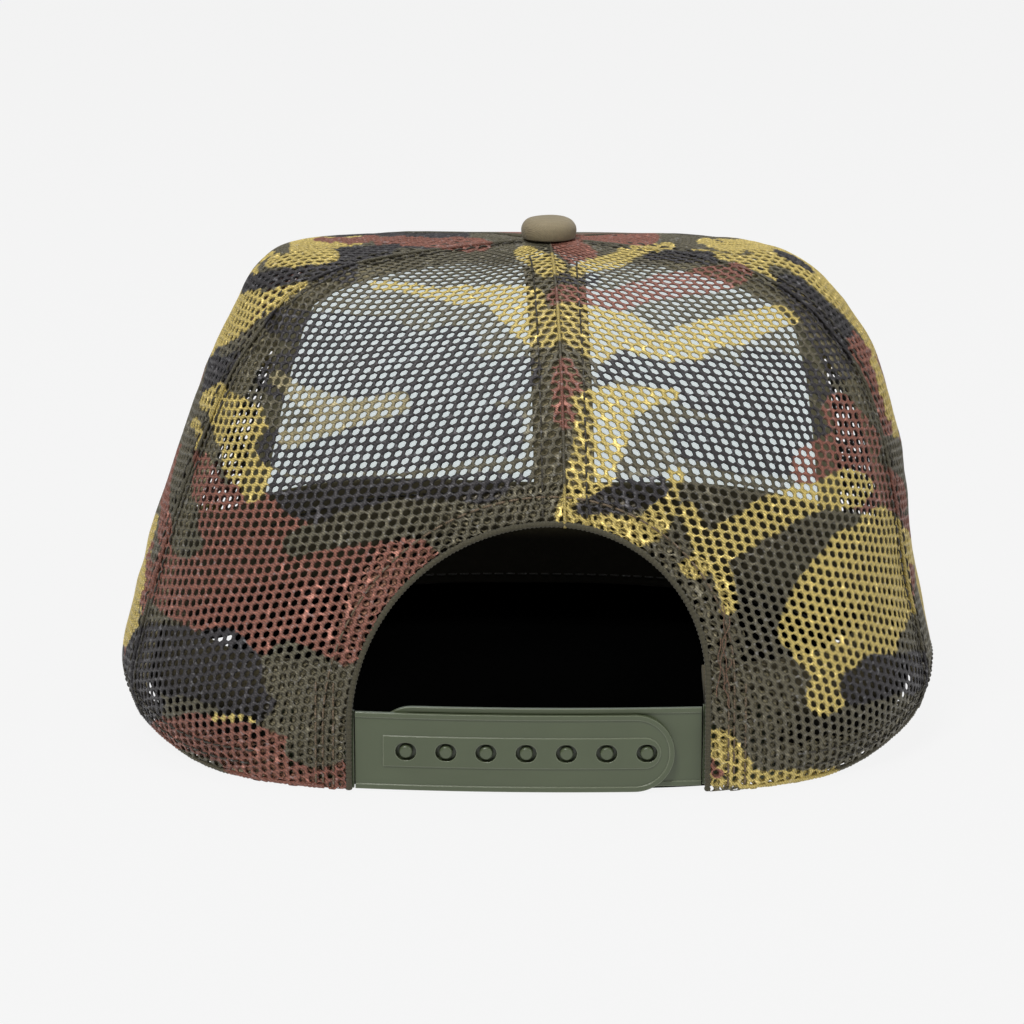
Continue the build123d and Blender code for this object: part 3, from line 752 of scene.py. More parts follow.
def band_material():
    """The sweatband's cloth, olive brown above and nearly black low down in front, where no light reaches."""
    material = fabric("sweatband_fabric", linear(98, 91, 72), 0.9, 0.05, specular=0.1)
    tree = material.node_tree
    node = tree.nodes["Principled BSDF"]
    worn = node.inputs["Base Color"].links[0].from_socket
    split = add(tree, "ShaderNodeSeparateXYZ", Vector=object_places(tree))
    away = add(tree, "ShaderNodeMath", operation="ABSOLUTE")
    tree.links.new(split.outputs["X"], away.inputs[0])
    lift = add(tree, "ShaderNodeMapRange", interpolation_type="SMOOTHSTEP", From_Min=0.035, From_Max=0.055)
    lift.inputs["To Max"].default_value = 0.012
    tree.links.new(away.outputs["Value"], lift.inputs["Value"])
    lifted = add(tree, "ShaderNodeMath", operation="ADD")
    tree.links.new(split.outputs["Z"], lifted.inputs[0])
    tree.links.new(lift.outputs["Result"], lifted.inputs[1])
    rise = add(tree, "ShaderNodeMapRange", interpolation_type="SMOOTHSTEP", From_Min=0.026, From_Max=0.034)
    tree.links.new(lifted.outputs["Value"], rise.inputs["Value"])
    tree.links.new(tinted(tree, worn, rise.outputs["Result"], 0.08, 1.0), node.inputs["Base Color"])
    return material


NET = yarn("camo_mesh", 0.42)
CLOTH = fabric("camo_fabric", (0.2, 0.2, 0.2), 0.78, 0.12, printed=True)
TAPE = fabric("seam_tape", linear(160, 150, 118), 0.8, 0.15, weave=0.0007, depth=0.00018, twill=False)
BINDING = fabric("binding_tape", linear(70, 66, 50), 0.7, 0.15, weave=0.0006, depth=0.00012, twill=False)
BAND = band_material()
UNDER = fabric("visor_under_fabric", linear(52, 50, 44), 0.82, 0.12)
BUTTON = fabric("button_fabric", linear(136, 124, 98), 0.7, 0.2, weave=0.0005, depth=0.0001)
TOPSTITCH = yarn("topstitch", 0.45, linear(104, 88, 68))
DARK_THREAD = yarn("dark_thread", 0.5, linear(58, 54, 44))
BAND_THREAD = yarn("band_thread", 0.6, linear(34, 32, 28))
BROWN_THREAD = yarn("brown_thread", 0.5, linear(110, 84, 66))
FOAM = foam_material()
PLASTIC = plastic_material()
METAL = metal_material()

# ------------------------------------------------------------ net

# The knitted net: columns and rows of six-sided holes, in rows that are half a column apart.
PITCH, ROW = 2.65, 2.25
NET_DEPTH = 0.5
# How much of a cell its hole takes, across and up, and half the net's thickness: at the back, then the sides.
OPEN, NET_HALF = (0.6, 0.6), 0.3
SIDE_OPEN, SIDE_HALF = (0.47, 0.48), 0.5
CELL_CORNERS = ((0, 4), (2, 2), (2, -2), (0, -4), (-2, -2), (-2, 2))
SPAN_MARGIN = -0.1  # how far short of the panel's side the last cells' middles stop, in columns
TOP_GAP = 2.0  # how far short of the panel's top they stop
BACK_Y = -30  # behind this, the opening counts
KEY_SHIFT, KEY_ROW = 4000, 10000  # for numbering the places where cells meet
# Painted shade on the strands, a brightness for each ring of points: lighter on the outer side, darker on the
# inner side and at the holes' edges.
STRAND_PAINTED_SHADE = (1.25, 0.6, 1.0, 0.55)  # outer edges, inner edges, strands and hole edges


def cell_ring():
    """The places round a cell, in quarter columns and sixth rows: its corners and what is between them."""
    ring = []
    for (x, y), (next_x, next_y) in zip(CELL_CORNERS, CELL_CORNERS[1:] + CELL_CORNERS[:1]):
        ring += [(x, y), ((x + next_x) / 2, (y + next_y) / 2)]
    return np.array(ring).round().astype(int)


RING = cell_ring()


def yarn_share(share):
    """How much of a net is yarn when its holes are this open across and up. Some are a little narrower."""
    return 1 - 0.95 * share[0] * share[1]


class Panel:
    """A stretch of the crown between two directions, laid out flat: u across from its middle and v up."""

    def __init__(self, start, end):
        self.turns = np.linspace(start, end, int(end - start) * 2 + 1)
        rows = V_LOW + np.arange(V_STEPS)
        points = surface(self.turns[:, None], rows[None])
        step = np.linalg.norm(np.diff(points, axis=0), axis=-1)
        across = np.concatenate([np.zeros((1, V_STEPS)), np.cumsum(step, 0)])
        self.across = across - across[-1:] / 2
        self.foot = by_turn(GRID_FOOT, self.turns).min()
        self.end = by_turn(GRID_END, self.turns).max()
        self.wide = (across[-1] * ((rows > self.foot) & (rows < self.end))).max()
        cells = np.linalg.norm(np.diff(points, axis=1), axis=-1)[:-1] * step[:, :-1]
        low, high = (by_turn(grid, self.turns)[:-1, None] for grid in (GRID_FOOT, GRID_END))
        self.area = (cells * ((rows[:-1] >= low) & (rows[:-1] < high))).sum()

    def turn_at(self, u, v):
        """The direction of a flat place. Places past a side are brought back to it."""
        turn = np.empty(len(u))
        row = np.clip(np.floor(v - V_LOW).astype(int), 0, V_STEPS - 2)
        for k in np.unique(row):
            here = row == k
            low = np.interp(u[here], self.across[:, k], self.turns)
            high = np.interp(u[here], self.across[:, k + 1], self.turns)
            turn[here] = low + (high - low) * np.clip(v[here] - V_LOW - k, 0, 1)
        return turn

    def width_at(self, v):
        """Half the panel's width at a height up it."""
        return np.interp(v, V_LOW + np.arange(V_STEPS), self.across[-1])


class Lattice:
    """A net's cells over a panel, laid out flat. shift moves them, in columns and rows.

    lay says how steeply the rows climb at the panel's foot and higher up, and how far the columns lean.
    """

    def __init__(self, panel, shift, lay, keep, clear_arch):
        self.panel, self.shift, self.lay = panel, shift, lay
        spare = 12 + int(abs(lay[2]) * 110 / PITCH)
        rows = np.arange(int(panel.foot / ROW) - 14, int(panel.end / ROW) + 14)
        columns = np.arange(-int(panel.wide / PITCH / 2) - spare, int(panel.wide / PITCH / 2) + spare)
        i, j = (a.ravel() for a in np.meshgrid(columns, rows))
        quarter, sixth = 4 * i + 2 * (j % 2), 6 * j
        u, v = self.flat(quarter, sixth)
        turn = panel.turn_at(u, v)
        centre = surface(turn, v)
        fine = np.abs(u) < panel.width_at(v) - SPAN_MARGIN * PITCH
        fine &= (v > by_turn(GRID_FOOT, turn) + 0.25 * ROW) & (v < by_turn(GRID_END, turn) - TOP_GAP)
        if clear_arch is not None:
            fine &= (from_arch(centre[:, 0], centre[:, 2])[0] > clear_arch) | (centre[:, 1] > BACK_Y)
        if keep is not None:
            fine &= keep(turn, v, centre)
        quarter, sixth, self.u, self.v = quarter[fine], sixth[fine], u[fine], v[fine]
        keys = (quarter[:, None] + RING[:, 0] + KEY_SHIFT) * KEY_ROW + sixth[:, None] + RING[:, 1] + KEY_SHIFT
        unique, index = np.unique(keys, return_inverse=True)
        self.index = index.reshape(keys.shape)
        self.edge = self.flat(unique // KEY_ROW - KEY_SHIFT, unique % KEY_ROW - KEY_SHIFT)

    def flat(self, quarter, sixth):
        """Where the net's own places lie on the flat panel, a little unevenly."""
        climb_low, climb_high, lean = self.lay
        u, v = PITCH * (quarter / 4 + self.shift[0]), ROW * (sixth / 6 + self.shift[1])
        wander = np.stack([u, v, np.full(len(u), self.panel.turns[0])], -1)
        u = u + 0.4 * noise(wander, 9, 3) + 0.22 * noise(wander, 2.4, 5)
        v = v + 0.4 * noise(wander, 9, 4) + 0.22 * noise(wander, 2.4, 6)
        u = u + lean * (v - 40)
        high = np.clip((v - 25) / 45, 0, 1)
        return u, v + (climb_low + (climb_high - climb_low) * high * high * (3 - 2 * high)) * u

    def holes(self, share):
        """The edge of each cell's hole, and the crest of the strands round it."""
        _, climb_high, lean = self.lay
        ring_u, ring_v = (edge[self.index] for edge in self.edge)
        narrow = 0.86 + 0.14 * np.clip((self.v - 30) / 30, 0, 1)[:, None]
        ring_x = RING[:, 0] * PITCH / 4 * share[0]
        ring_y = RING[:, 1] * ROW / 6 * share[1]
        cells = np.stack([self.u * 3, self.v * 3, self.u * 0], -1)
        size = 1 + 0.1 * noise(cells, 5.3, 8)[:, None]
        hole_u = ring_u.mean(1)[:, None] + size * (ring_x * narrow - 0.35 * lean * ring_y)
        hole_v = ring_v.mean(1)[:, None] + size * (ring_y + climb_high * ring_x)
        return (hole_u, hole_v), (ring_u + (hole_u - ring_u) * 0.55, ring_v + (hole_v - ring_v) * 0.55)


def net_faces(index, count):
    """Faces of a net's strands, from the numbers of the places round each cell. Free edges are closed."""
    after = np.roll(index, -1, 1)
    mid = np.arange(index.size).reshape(index.shape) + 2 * count
    rim = mid + index.size
    mid_after, rim_after = np.roll(mid, -1, 1), np.roll(rim, -1, 1)
    faces = [
        np.stack([after, index, mid, mid_after], -1),
        np.stack([mid_after, mid, rim, rim_after], -1),
        np.stack([index + count, after + count, rim_after, rim], -1),
    ]
    pairs = np.stack([index, after], -1).reshape(-1, 2)
    _, first, uses = np.unique(np.sort(pairs, 1), axis=0, return_index=True, return_counts=True)
    a, b = pairs[first[uses == 1]].T
    return np.concatenate([f.reshape(-1, 4) for f in faces] + [np.stack([a, b, b + count, a + count], -1)])


def with_painted_glints(points, colours, shade):
    """The net's colours with painted glints: bright painted highlights on its outer strands, most of them
    above the opening.
    """
    x, z = seen(points)
    # Painted highlights go mostly round a place above the opening, round one to its left, and along the arch.
    lit = np.exp(-((x - 16) ** 2 + (z - 82) ** 2) / 2 / 20**2)
    lit += np.exp(-((x + 45) ** 2 + (z - 50) ** 2) / 2 / 9**2)
    rim = np.abs(from_arch(points[:, 0], points[:, 2])[0] - 9)
    lit += 0.5 * np.exp(-((rim / 8) ** 2)) * (points[:, 1] < BACK_Y) * (points[:, 2] > 40)
    glint = noise(points * (1, 1, 0.6), 1.0, 77) - 0.7 + 0.27 * np.minimum(lit, 1)
    share_lit = np.clip(4 * glint, 0, 0.6) * (shade > 0.9)
    return colours + (2.2 * colours + 0.08) * share_lit[:, None]


def net(name, panel, lay, share, half, depth=NET_DEPTH, keep=None, clear_arch=None, shift=(0, 0)):
    """A net over a panel, half as thick as half says. Its lay and shift are as in Lattice.

    share says how open the cells are across and up. keep chooses a second layer's cells by (turn, up, point),
    and clear_arch keeps a net that far off the arch.
    """
    cells = Lattice(panel, shift, lay, keep, clear_arch)

    def placed(flat, deep):
        u, v = (values.ravel() for values in flat)
        turn = panel.turn_at(u, v)
        points = surface(turn, np.maximum(v, by_turn(GRID_FOOT, turn) + 0.1))
        if clear_arch is not None:
            gap, out_x, out_z = from_arch(points[:, 0], points[:, 2])
            short = clear_arch + 0.3 - gap
            short = np.where((gap < clear_arch + 0.3) & (points[:, 1] < BACK_Y), short, 0)
            x, z = points[:, 0] + short * out_x, points[:, 2] + short * out_z
            points = np.where(short[:, None] > 0, back_point(x, z), points)
        ripple = 0.45 * noise(points, 17, 41) + 0.25 * noise(points, 6, 42)
        return points - crown_normal(points) * (depth + deep + ripple)[:, None]

    hole, crest = cells.holes(share)
    layers = [placed(cells.edge, -half), placed(cells.edge, half)]
    layers += [placed(crest, -0.72 * half), placed(hole, 0.0)]
    points = np.concatenate(layers)
    colours = inks(points, panel.turns[0] > 190)
    # A second layer is mixed with khaki for the print's paler back, and made lighter as painted light for
    # what reaches it past the outer net.
    if keep is not None:
        colours = 1.3 * colours + 0.3 * INKS[KHAKI]
    # Painted shade: the strands lighter outside, and darker inside and at the holes' edges.
    shade = np.repeat(STRAND_PAINTED_SHADE, [len(layer) for layer in layers])
    colours = with_painted_glints(points, colours * shade[:, None], shade)
    return make(name, points, net_faces(cells.index, len(layers[0])), NET, "camo_mesh", colours)


PANELS = {
    "back_panel_left": Panel(SEAMS["side_left"], SEAMS["centre"]),
    "back_panel_right": Panel(SEAMS["centre"], SEAMS["side_right"]),
    "side_panel_left": Panel(SEAMS["front_left"], SEAMS["side_left"]),
    "side_panel_right": Panel(SEAMS["side_right"] - 360, SEAMS["front_right"]),
}
# How each panel's net lies: how its rows climb low and high, and how its columns lean.
LAY = {
    "back_panel_left": (0.24, 0.12, -0.45),
    "back_panel_right": (-0.36, -0.2, 0.43),
    "side_panel_left": (0.1, 0.1, -0.4),
    "side_panel_right": (-0.1, -0.1, 0.4),
}
for node, panel in PANELS.items():
    arch = 0.5 if node.startswith("back") else None
    share, half = (OPEN, NET_HALF) if arch else (SIDE_OPEN, SIDE_HALF)
    piece = net(node.replace("panel", "net"), panel, LAY[node], share, half, clear_arch=arch)
    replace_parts(piece, node)
    # The opening takes about half its width by 57 mm from each back panel.
    cut = panel.area - (0.5 * (ARCH["right"] - ARCH["left"]) * 57 if arch else 0)
    cut *= yarn_share(share) * MM * MM

# Second layers of net: the folded facing round the opening, and the turned-up hem.
FACING_WIDE, FACING_SIDE, FACING_TALL = 10.0, 65.0, 31.0
HEM_FOLD = 10.5


def in_facing(point):
    """True where the opening's folded facing lies."""
    gap = from_arch(point[:, 0], point[:, 2])[0]
    beside = (np.abs(point[:, 0] - ARCH_MIDDLE) < FACING_SIDE) & (point[:, 2] < FACING_TALL)
    return (gap < FACING_WIDE) | beside


def in_hem_fold(turn, up, point):
    """True where the hem's turned-up fold lies, beside the opening's facing."""
    return (up < by_turn(GRID_FOOT, turn) + HEM_FOLD) & ~((point[:, 1] < 0) & in_facing(point))


SECOND_DEPTH = 1.35
DOUBLED = (0.5, 0.5)  # how open a second layer's cells are
facing = net(
    "opening_facing_net",
    Panel(226, 320),
    (0, 0, -0.4),
    DOUBLED,
    0.22,
    SECOND_DEPTH,
    lambda turn, up, point: in_facing(point),
    0.6,
    (0.5, 0.35),
)
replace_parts(facing, "opening_facing")
# A strip 10 mm wide and 140 mm long round the arch, with a piece 21 mm wide and 31 mm tall at each foot.
for node, panel in PANELS.items():
    name = node.replace("panel", "hem_fold")
    fold = net(name, panel, LAY[node], DOUBLED, 0.2, SECOND_DEPTH, in_hem_fold, None, (0.25, 0.5))
    rests = [node.replace("panel", "net")]

# ------------------------------------------------------------ front


def front_layer(outer, inner, step, high_gap=0.0):
    """Points and faces of a layer of the front panel from the hem to the button, between two depths."""
    start, end = SEAMS["front_right"], SEAMS["front_left"]
    turns = np.linspace(start, end, int((end - start) * 1.65 / step))
    foot, top = by_turn(GRID_FOOT, turns), by_turn(GRID_END, turns) - high_gap
    up = foot + (top - foot) * np.linspace(0, 1, int(195 / step))[:, None]
    base = surface(turns, up)
    wave = 0.25 * noise(base.reshape(-1, 3), 22, 51).reshape(up.shape)
    normal = crown_normal(base)
    return slab(base - normal * (outer + wave)[..., None], base - normal * (inner + wave)[..., None])


points, faces = front_layer(0.0, 0.7, 1.1)
cover = make("front_cover", points, faces, CLOTH, "camo_fabric", inks(points))
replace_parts(cover, "front_panel_cover")
front = Panel(SEAMS["front_right"], SEAMS["front_left"])
foam = make("front_foam", *front_layer(0.9, 4.0, 2.0, 12.0), FOAM, "white_foam")
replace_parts(foam, "front_panel_foam")

# ------------------------------------------------------------ tapes


TAPE_THICK, TAPE_LOW, TAPE_GAP = 0.7, 5.5, 16.0
# Across a tape: its places from edge to edge, and how far its rolled edges sink.
TAPE_PLACES = np.array((-1, -0.93, -0.8, -0.4, 0, 0.4, 0.8, 0.93, 1))
TAPE_EDGE = TAPE_THICK * np.array((0.35, 0.05, 0, 0.08, 0.1, 0.08, 0, 0.05, 0.35))


def seam_ups(turn, low, gap, step):
    """Heights up a seam from a little above the hem to a little below the button, and the reach there."""
    ups = np.arange(float(by_turn(GRID_FOOT, turn)) + low, float(by_turn(GRID_END, turn)) - gap, step)
    return ups, np.hypot(*(surface(turn, ups)[:, :2] - (BUTTON_X, 0)).T)


def tape(turn, width, depth, aside=0.0, low=TAPE_LOW):
    """Points and faces of a woven tape along a seam or aside from it, with a slight ripple."""
    ups, reach = seam_ups(turn, low, TAPE_GAP, 2.0)
    offsets = aside + width / 2 * TAPE_PLACES
    base = surface(turn + np.degrees(np.arctan2(offsets[None], reach[:, None])), ups[:, None])
    normal = crown_normal(base)
    pull = depth + 0.15 * noise(base.reshape(-1, 3), 5, 61).reshape(base.shape[:2])
    under = pull + TAPE_THICK - 0.5 * TAPE_EDGE
    return slab(base - normal * (pull + TAPE_EDGE)[..., None], base - normal * under[..., None])


TAPES = (
    ("side_seam_tape_left", SEAMS["side_left"], 12.0, 2.1, 0, ["back_net_left", "side_net_left"]),
    ("side_seam_tape_right", SEAMS["side_right"], 12.0, 2.1, 0, ["back_net_right", "side_net_right"]),
    ("front_seam_tape_left", SEAMS["front_left"], 10.0, 4.35, 6.0, ["side_net_left"]),
    ("front_seam_tape_right", SEAMS["front_right"], 10.0, 4.35, -6.0, ["side_net_right"]),
)
for node, turn, width, depth, aside, rests in TAPES:
    piece = make(node.replace("seam_tape", "tape"), *tape(turn, width, depth, aside), TAPE, "seam_tape")
    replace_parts(piece, node)
ARCH_RISE = 76.0
above_arch = ARCH_RISE - float(by_turn(GRID_FOOT, SEAMS["centre"]))
piece = make("centre_tape", *tape(SEAMS["centre"], 15.0, 1.4, 0.0, above_arch), TAPE, "seam_tape")
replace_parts(piece, "centre_back_tape")

# The opening's edge, seen from behind, from foot to foot.


def arch_arc(start, end, centre_z, radius):
    """Places along one of the opening's two arcs."""
    turn = np.linspace(start, end, 60)
    return np.stack([ARCH["apex_x"] + radius * np.cos(turn), centre_z + radius * np.sin(turn)], 1)


ARCH_LINE = np.concatenate(
    [
        [(ARCH["left"], 0.4)],
        arch_arc(math.pi, math.pi / 2, ARCH["left_z"], ARCH_LEFT_RADIUS),
        arch_arc(math.pi / 2, 0, ARCH["right_z"], ARCH_RIGHT_RADIUS)[1:],
        [(ARCH["right"], 0.4)],
    ]
)


def along_arch(out, depth, step, low=0.4):
    """A line round the opening at a distance outside its edge, on the crown's back."""
    _, out_x, out_z = from_arch(ARCH_LINE[:, 0], ARCH_LINE[:, 1])
    line = ARCH_LINE + out * np.stack([out_x, out_z], 1)
    run = running(np.hypot(*np.diff(line, axis=0).T))
    places = np.arange(0, run[-1], step)
    x, z = np.interp(places, run, line[:, 0]), np.interp(places, run, line[:, 1])
    return back_point(x, np.maximum(z, low), depth)


# The ribbed binding round the opening's edge.
RIB, RIB_STEP = 1.1, 0.28
line = along_arch(0.45, 0.55, RIB_STEP)
ribs = 1 + 0.16 * np.sin(2 * math.pi * np.arange(len(line)) * RIB_STEP / RIB)
binding = bead(line, round_profile(0.72, 0.85, 12, 2.2), ribs)
binding = make("opening_binding_tape", *binding, BINDING, "seam_tape")
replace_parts(binding, "opening_binding")

# Tapes between the hem and the sweatband.
HEM_TAPE_RISE = 0.4 + np.array((0.0, 0.25, 1.2, 3.5, 4.5, 4.7))[:, None]
HEM_TAPE_SOFT = np.array((0.5, 0.15, 0, 0, 0.15, 0.5))[:, None]
for node, start, end in (("hem_tape_left", 144, 229.2), ("hem_tape_right", -51.5, 36)):
    turns = np.linspace(start, end, int(end - start))
    height = by_turn(GRID_HEM, turns) + HEM_TAPE_RISE
    reach = reach_at(turns, height)
    outer = around_button(turns, reach - (2.3 + HEM_TAPE_SOFT), height)
    inner = around_button(turns, reach - (4.4 - HEM_TAPE_SOFT), height)
    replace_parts(make(node + "_woven", *slab(outer, inner), TAPE, "seam_tape"), node)

# ------------------------------------------------------------ sweatband

# The sweatband: a soft pad round the head, left open at the back.
BAND_START, BAND_END, BAND_TALL = -62.0, 238.3, 30.0
BAND_OUTER, BAND_INNER = 5.75, 8.55  # its depths inside the crown
BAND_AROUND = 40
turns = np.linspace(BAND_START, BAND_END, 260)
hem = by_turn(GRID_HEM, turns)
outline = round_profile(0.5, 0.5, BAND_AROUND, 5.0)
inward_side = outline[None, :, 0] < 0
beside_front = np.clip(np.abs(turns - 90) / 54, 0, 1) * np.clip((118 - np.abs(turns - 90)) / 20, 0, 1)
rise = (outline[:, 1] + 0.5)[None] * (BAND_TALL - 0.5 + 6.5 * beside_front**2)[:, None]
depth = BAND_OUTER + (BAND_INNER - BAND_OUTER) * (0.5 - outline[:, 0])
puff = np.where(inward_side, 0.5 * np.sin(math.pi * np.clip(rise / BAND_TALL, 0, 1)) ** 0.6, 0)
height = hem[:, None] + 0.4 + rise
places = np.stack([turns[:, None] * 1.6 + 0 * height, height, height * 0], -1).reshape(-1, 3)
wave = 0.22 * noise(places, 7, 81).reshape(height.shape)
reach = reach_at(turns[:, None], height) - depth[None] - np.where(inward_side, (puff + wave) * 0.6, 0)
ringed = around_button(turns[:, None], reach, height).reshape(-1, 3)
band = make("sweatband", ringed, tube_faces(len(turns), BAND_AROUND), BAND, "sweatband_fabric")
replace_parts(band, "sweatband_backing", "sweatband_padding", "sweatband_facing")


def band_line(rise_at, depth_at):
    """A line along the sweatband at a height above the hem."""
    return around_button(turns, reach_at(turns, hem + rise_at) - depth_at, hem + rise_at)


band_rows = [band_line(27.2, 8.9), band_line(3.2, 8.9)]
inward = [-crown_normal(row) for row in band_rows]
make("sweatband_stitches", *stitches(band_rows, inward, 0.12), BAND_THREAD, "sweatband_fabric")

# ------------------------------------------------------------ threads


def up_seam(turn, offset, depth, low=1.0, gap=9.0):
    """A line along a seam, offset to one side of it."""
    ups, reach = seam_ups(turn, low, gap, 1.5)
    return surface(turn + np.degrees(offset / reach), ups, depth)


seam_rows = []
for turn, offset in ((SEAMS["side_left"], 2.9), (SEAMS["side_right"], 2.9), (SEAMS["front_left"], 3.2)):
    seam_rows += [up_seam(turn, -offset, 0.0), up_seam(turn, offset, 0.0)]
seam_rows += [up_seam(SEAMS["front_right"], side, 0.0) for side in (-3.2, 3.2)]
centre_low = above_arch - 8
seam_rows += [up_seam(SEAMS["centre"], side, 0.0, centre_low) for side in (-5.4, 5.4)]
make("seam_stitches", *stitches(seam_rows, None, 0.0), DARK_THREAD, "seam_tape")
arch_rows = [along_arch(6.8, 0.0, 0.8, 1.2)]
for x in (-50.0, -45.6, 51.4, 55.6):
    z = np.arange(1.0, 31.0, 0.8)
    arch_rows.append(back_point(np.full(len(z), x), z))
make("opening_stitches", *stitches(arch_rows, None, 0.0), TOPSTITCH, "seam_tape")


def along_hem(start, end, rise_at, depth=0.0):
    """A line along the hem at a height above it."""
    turn = np.linspace(start, end, int(end - start) * 2)
    return surface(turn, by_turn(GRID_FOOT, turn) + rise_at, depth)


hem_rows = [along_hem(a, b, r) for a, b in ((144, 229), (-51, 36)) for r in (4.6, 8.2)]
make("hem_stitches", *stitches(hem_rows, None, 0.0), DARK_THREAD, "seam_tape")

# The folded seam ridges, the front seams' turned edges and the hem's rolled edge.
ridges = []
for turn in SEAMS.values():
    low = centre_low - 2 if turn == SEAMS["centre"] else 0.5
    line = resampled(up_seam(turn, 0.0, 0.15, low, 6.0), 1.0)
    ridges.append(bead(line, round_profile(0.42, 0.5, 8), 1 + 0.12 * noise(line, 1.3, 91)))
points, faces = joined(ridges)
make("seam_folds", points, faces, NET, "camo_mesh", inks(points, True) * 0.8)
edges = []
for turn, offset in ((SEAMS["front_left"], -0.9), (SEAMS["front_right"], 0.9)):
    line = resampled(up_seam(turn, offset, 0.35, 0.3, 6.0), 1.0)
    edges.append(bead(line, round_profile(1.25, 0.75, 12, 2.4), 1 + 0.06 * noise(line, 3.0, 93)))
points, faces = joined(edges)
make("front_seam_edges", points, faces, CLOTH, "camo_fabric", inks(points))
ROLL_TWIST, ROLL_STEP = 1.33, 0.6
rolls = []
for start, end in ((144, 237.2), (-59.2, 36)):
    line = resampled(along_hem(start, end, 0.65, 0.6), ROLL_STEP)
    twist = 0.16 * np.sin(2 * math.pi * np.arange(len(line)) * ROLL_STEP / ROLL_TWIST)
    rolls.append(bead(line, round_profile(0.55, 0.75, 8), 1 + twist + 0.1 * noise(line, 1.7, 92)))
points, faces = joined(rolls)
make("hem_roll", points, faces, NET, "camo_mesh", inks(points, True))

# Loose brown threads beside the opening.
t = np.linspace(0, 1, 160)
loops = (
    (49.4 + 0.9 * np.sin(5 * t) + 0.3 * np.sin(17 * t + 1), 46 - 22 * t),
    (50.6 + 0.7 * np.sin(6 * t + 2) + 0.35 * np.sin(13 * t), 43 - 17 * t),
    (49.9 + 1.1 * np.sin(4 * t + 4) + 0.3 * np.sin(15 * t), 38 - 16 * t),
    (50.9 + 0.6 * np.sin(7 * t + 1) + 0.4 * np.sin(19 * t), 33 - 12 * t),
)
threads = []
for x, z in loops:
    line = back_point(x, z, -0.3 - 0.25 * np.sin(14 * t))
    threads.append(bead(line, round_profile(0.14, 0.14, 6)))
make("loose_threads", *joined(threads), BROWN_THREAD, "seam_tape")

# ------------------------------------------------------------ visor

VISOR_TILT = math.radians(6.0)
VISOR_ROOT_Y, VISOR_ROOT_Z, VISOR_RADIUS = 84.0, 15.3, 260.0
VISOR_SEAM = (28.1, 153.6)
rim_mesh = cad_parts["visor_edge_binding"].data
rim = np.array([v.co for v in rim_mesh.vertices]) / MM
rim_turn = np.degrees(np.arctan2(rim[:, 1], rim[:, 0] - BUTTON_X))
rim_reach = np.hypot(rim[:, 0] - BUTTON_X, rim[:, 1])
seam_turns = np.linspace(*VISOR_SEAM, 220)
seam_reach = reach_at(seam_turns, 14.0) + 0.5
bins = np.linspace(VISOR_SEAM[0] - 1, VISOR_SEAM[1] + 1, 90)
outer_turn, outer_reach = [], []
for low, high in zip(bins, bins[1:]):
    inside = (rim_turn >= low) & (rim_turn < high)
    if inside.any():
        best = np.flatnonzero(inside)[rim_reach[inside].argmax()]
        outer_turn.append(rim_turn[best])
        outer_reach.append(rim_reach[best])
free_reach = np.interp(seam_turns, outer_turn, outer_reach)
free_reach = np.convolve(np.pad(free_reach, 4, mode="edge"), np.ones(9) / 9, "valid")
free_reach = np.maximum(free_reach, seam_reach + 0.3)


def visor_height(x, y, level, floor):
    """The height of the visor's arched plate at a place, at a level above its underside."""
    sine, cosine = math.sin(VISOR_TILT), math.cos(VISOR_TILT)
    arch = np.sqrt((VISOR_RADIUS + level) ** 2 - x**2) - VISOR_RADIUS
    ahead = (y - VISOR_ROOT_Y - arch * sine) / cosine
    return np.maximum(VISOR_ROOT_Z - ahead * sine + arch * cosine, floor)


def on_visor(turn, reach, level, floor):
    """Points of the visor's plate at a level above its underside."""
    points = around_button(turn, reach, 0.0)
    points[..., 2] = visor_height(points[..., 0], points[..., 1], level, floor)
    return points


def visor_grid(level, floor, rows, ripple=0.0):
    """A grid over the visor from its seam to just inside its free edge."""
    outer = np.maximum(free_reach - 1.0, seam_reach + 0.1)
    reach = seam_reach + (outer - seam_reach) * np.linspace(0, 1, rows)[:, None]
    points = on_visor(seam_turns, reach, level, floor)
    wave = noise((points * (1, 1, 0)).reshape(-1, 3), 14, 95).reshape(reach.shape)
    points[..., 2] += ripple * wave
    return points[:, ::-1]


points, faces = slab(visor_grid(3.4, 0.9, 80, 0.12), visor_grid(2.5, 0.5, 80))
top = make("visor_top", points, faces, CLOTH, "camo_fabric", inks(points))
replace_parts(top, "visor_top_cover", "visor_board")
faces = slab(visor_grid(0.9, 0.45, 60), visor_grid(0.0, 0.02, 60))
under = make("visor_underside", *faces, UNDER, "sweatband_fabric")
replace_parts(under, "visor_under_cover")


def visor_line(inset, level, floor):
    """A line along the visor inside its free edge, where it is clear of the seam."""
    reach = free_reach - inset
    clear = reach > seam_reach + 1.5
    return on_visor(seam_turns[clear], reach[clear], level, floor)


rim_line = resampled(visor_line(0.9, 1.7, 1.75), 1.2)
points, faces = bead(rim_line, round_profile(1.25, 1.72, 16, 2.3), None, np.array((0.0, 0.0, 1.0)))
points[:, 2] = np.maximum(points[:, 2], 0.01)
visor_rim = make("visor_rim", points, faces, CLOTH, "camo_fabric", inks(points))
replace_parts(visor_rim, "visor_edge_binding")
STITCH_INSETS = (3.2, 9.5, 16.0, 22.5, 29.0, 35.5, 42.0)
above = [visor_line(inset, 3.5, 1.0) for inset in STITCH_INSETS]
below = [visor_line(inset, 0.0, 0.0) for inset in STITCH_INSETS]
below = [row[row[:, 2] > 1.0] for row in below if len(row) > 8]  # where the visor is clear of the ground
for name, rows, up, slot in (
    ("visor_stitches", above, 1.0, "seam_tape"),
    ("visor_under_stitches", below, -1.0, "sweatband_fabric"),
):
    rows = [row for row in rows if len(row) > 8]
    normals = [np.broadcast_to((0.0, 0.0, up), row.shape) for row in rows]
    make(name, *stitches(rows, normals, 0.05), DARK_THREAD, slot)

# ------------------------------------------------------------ button

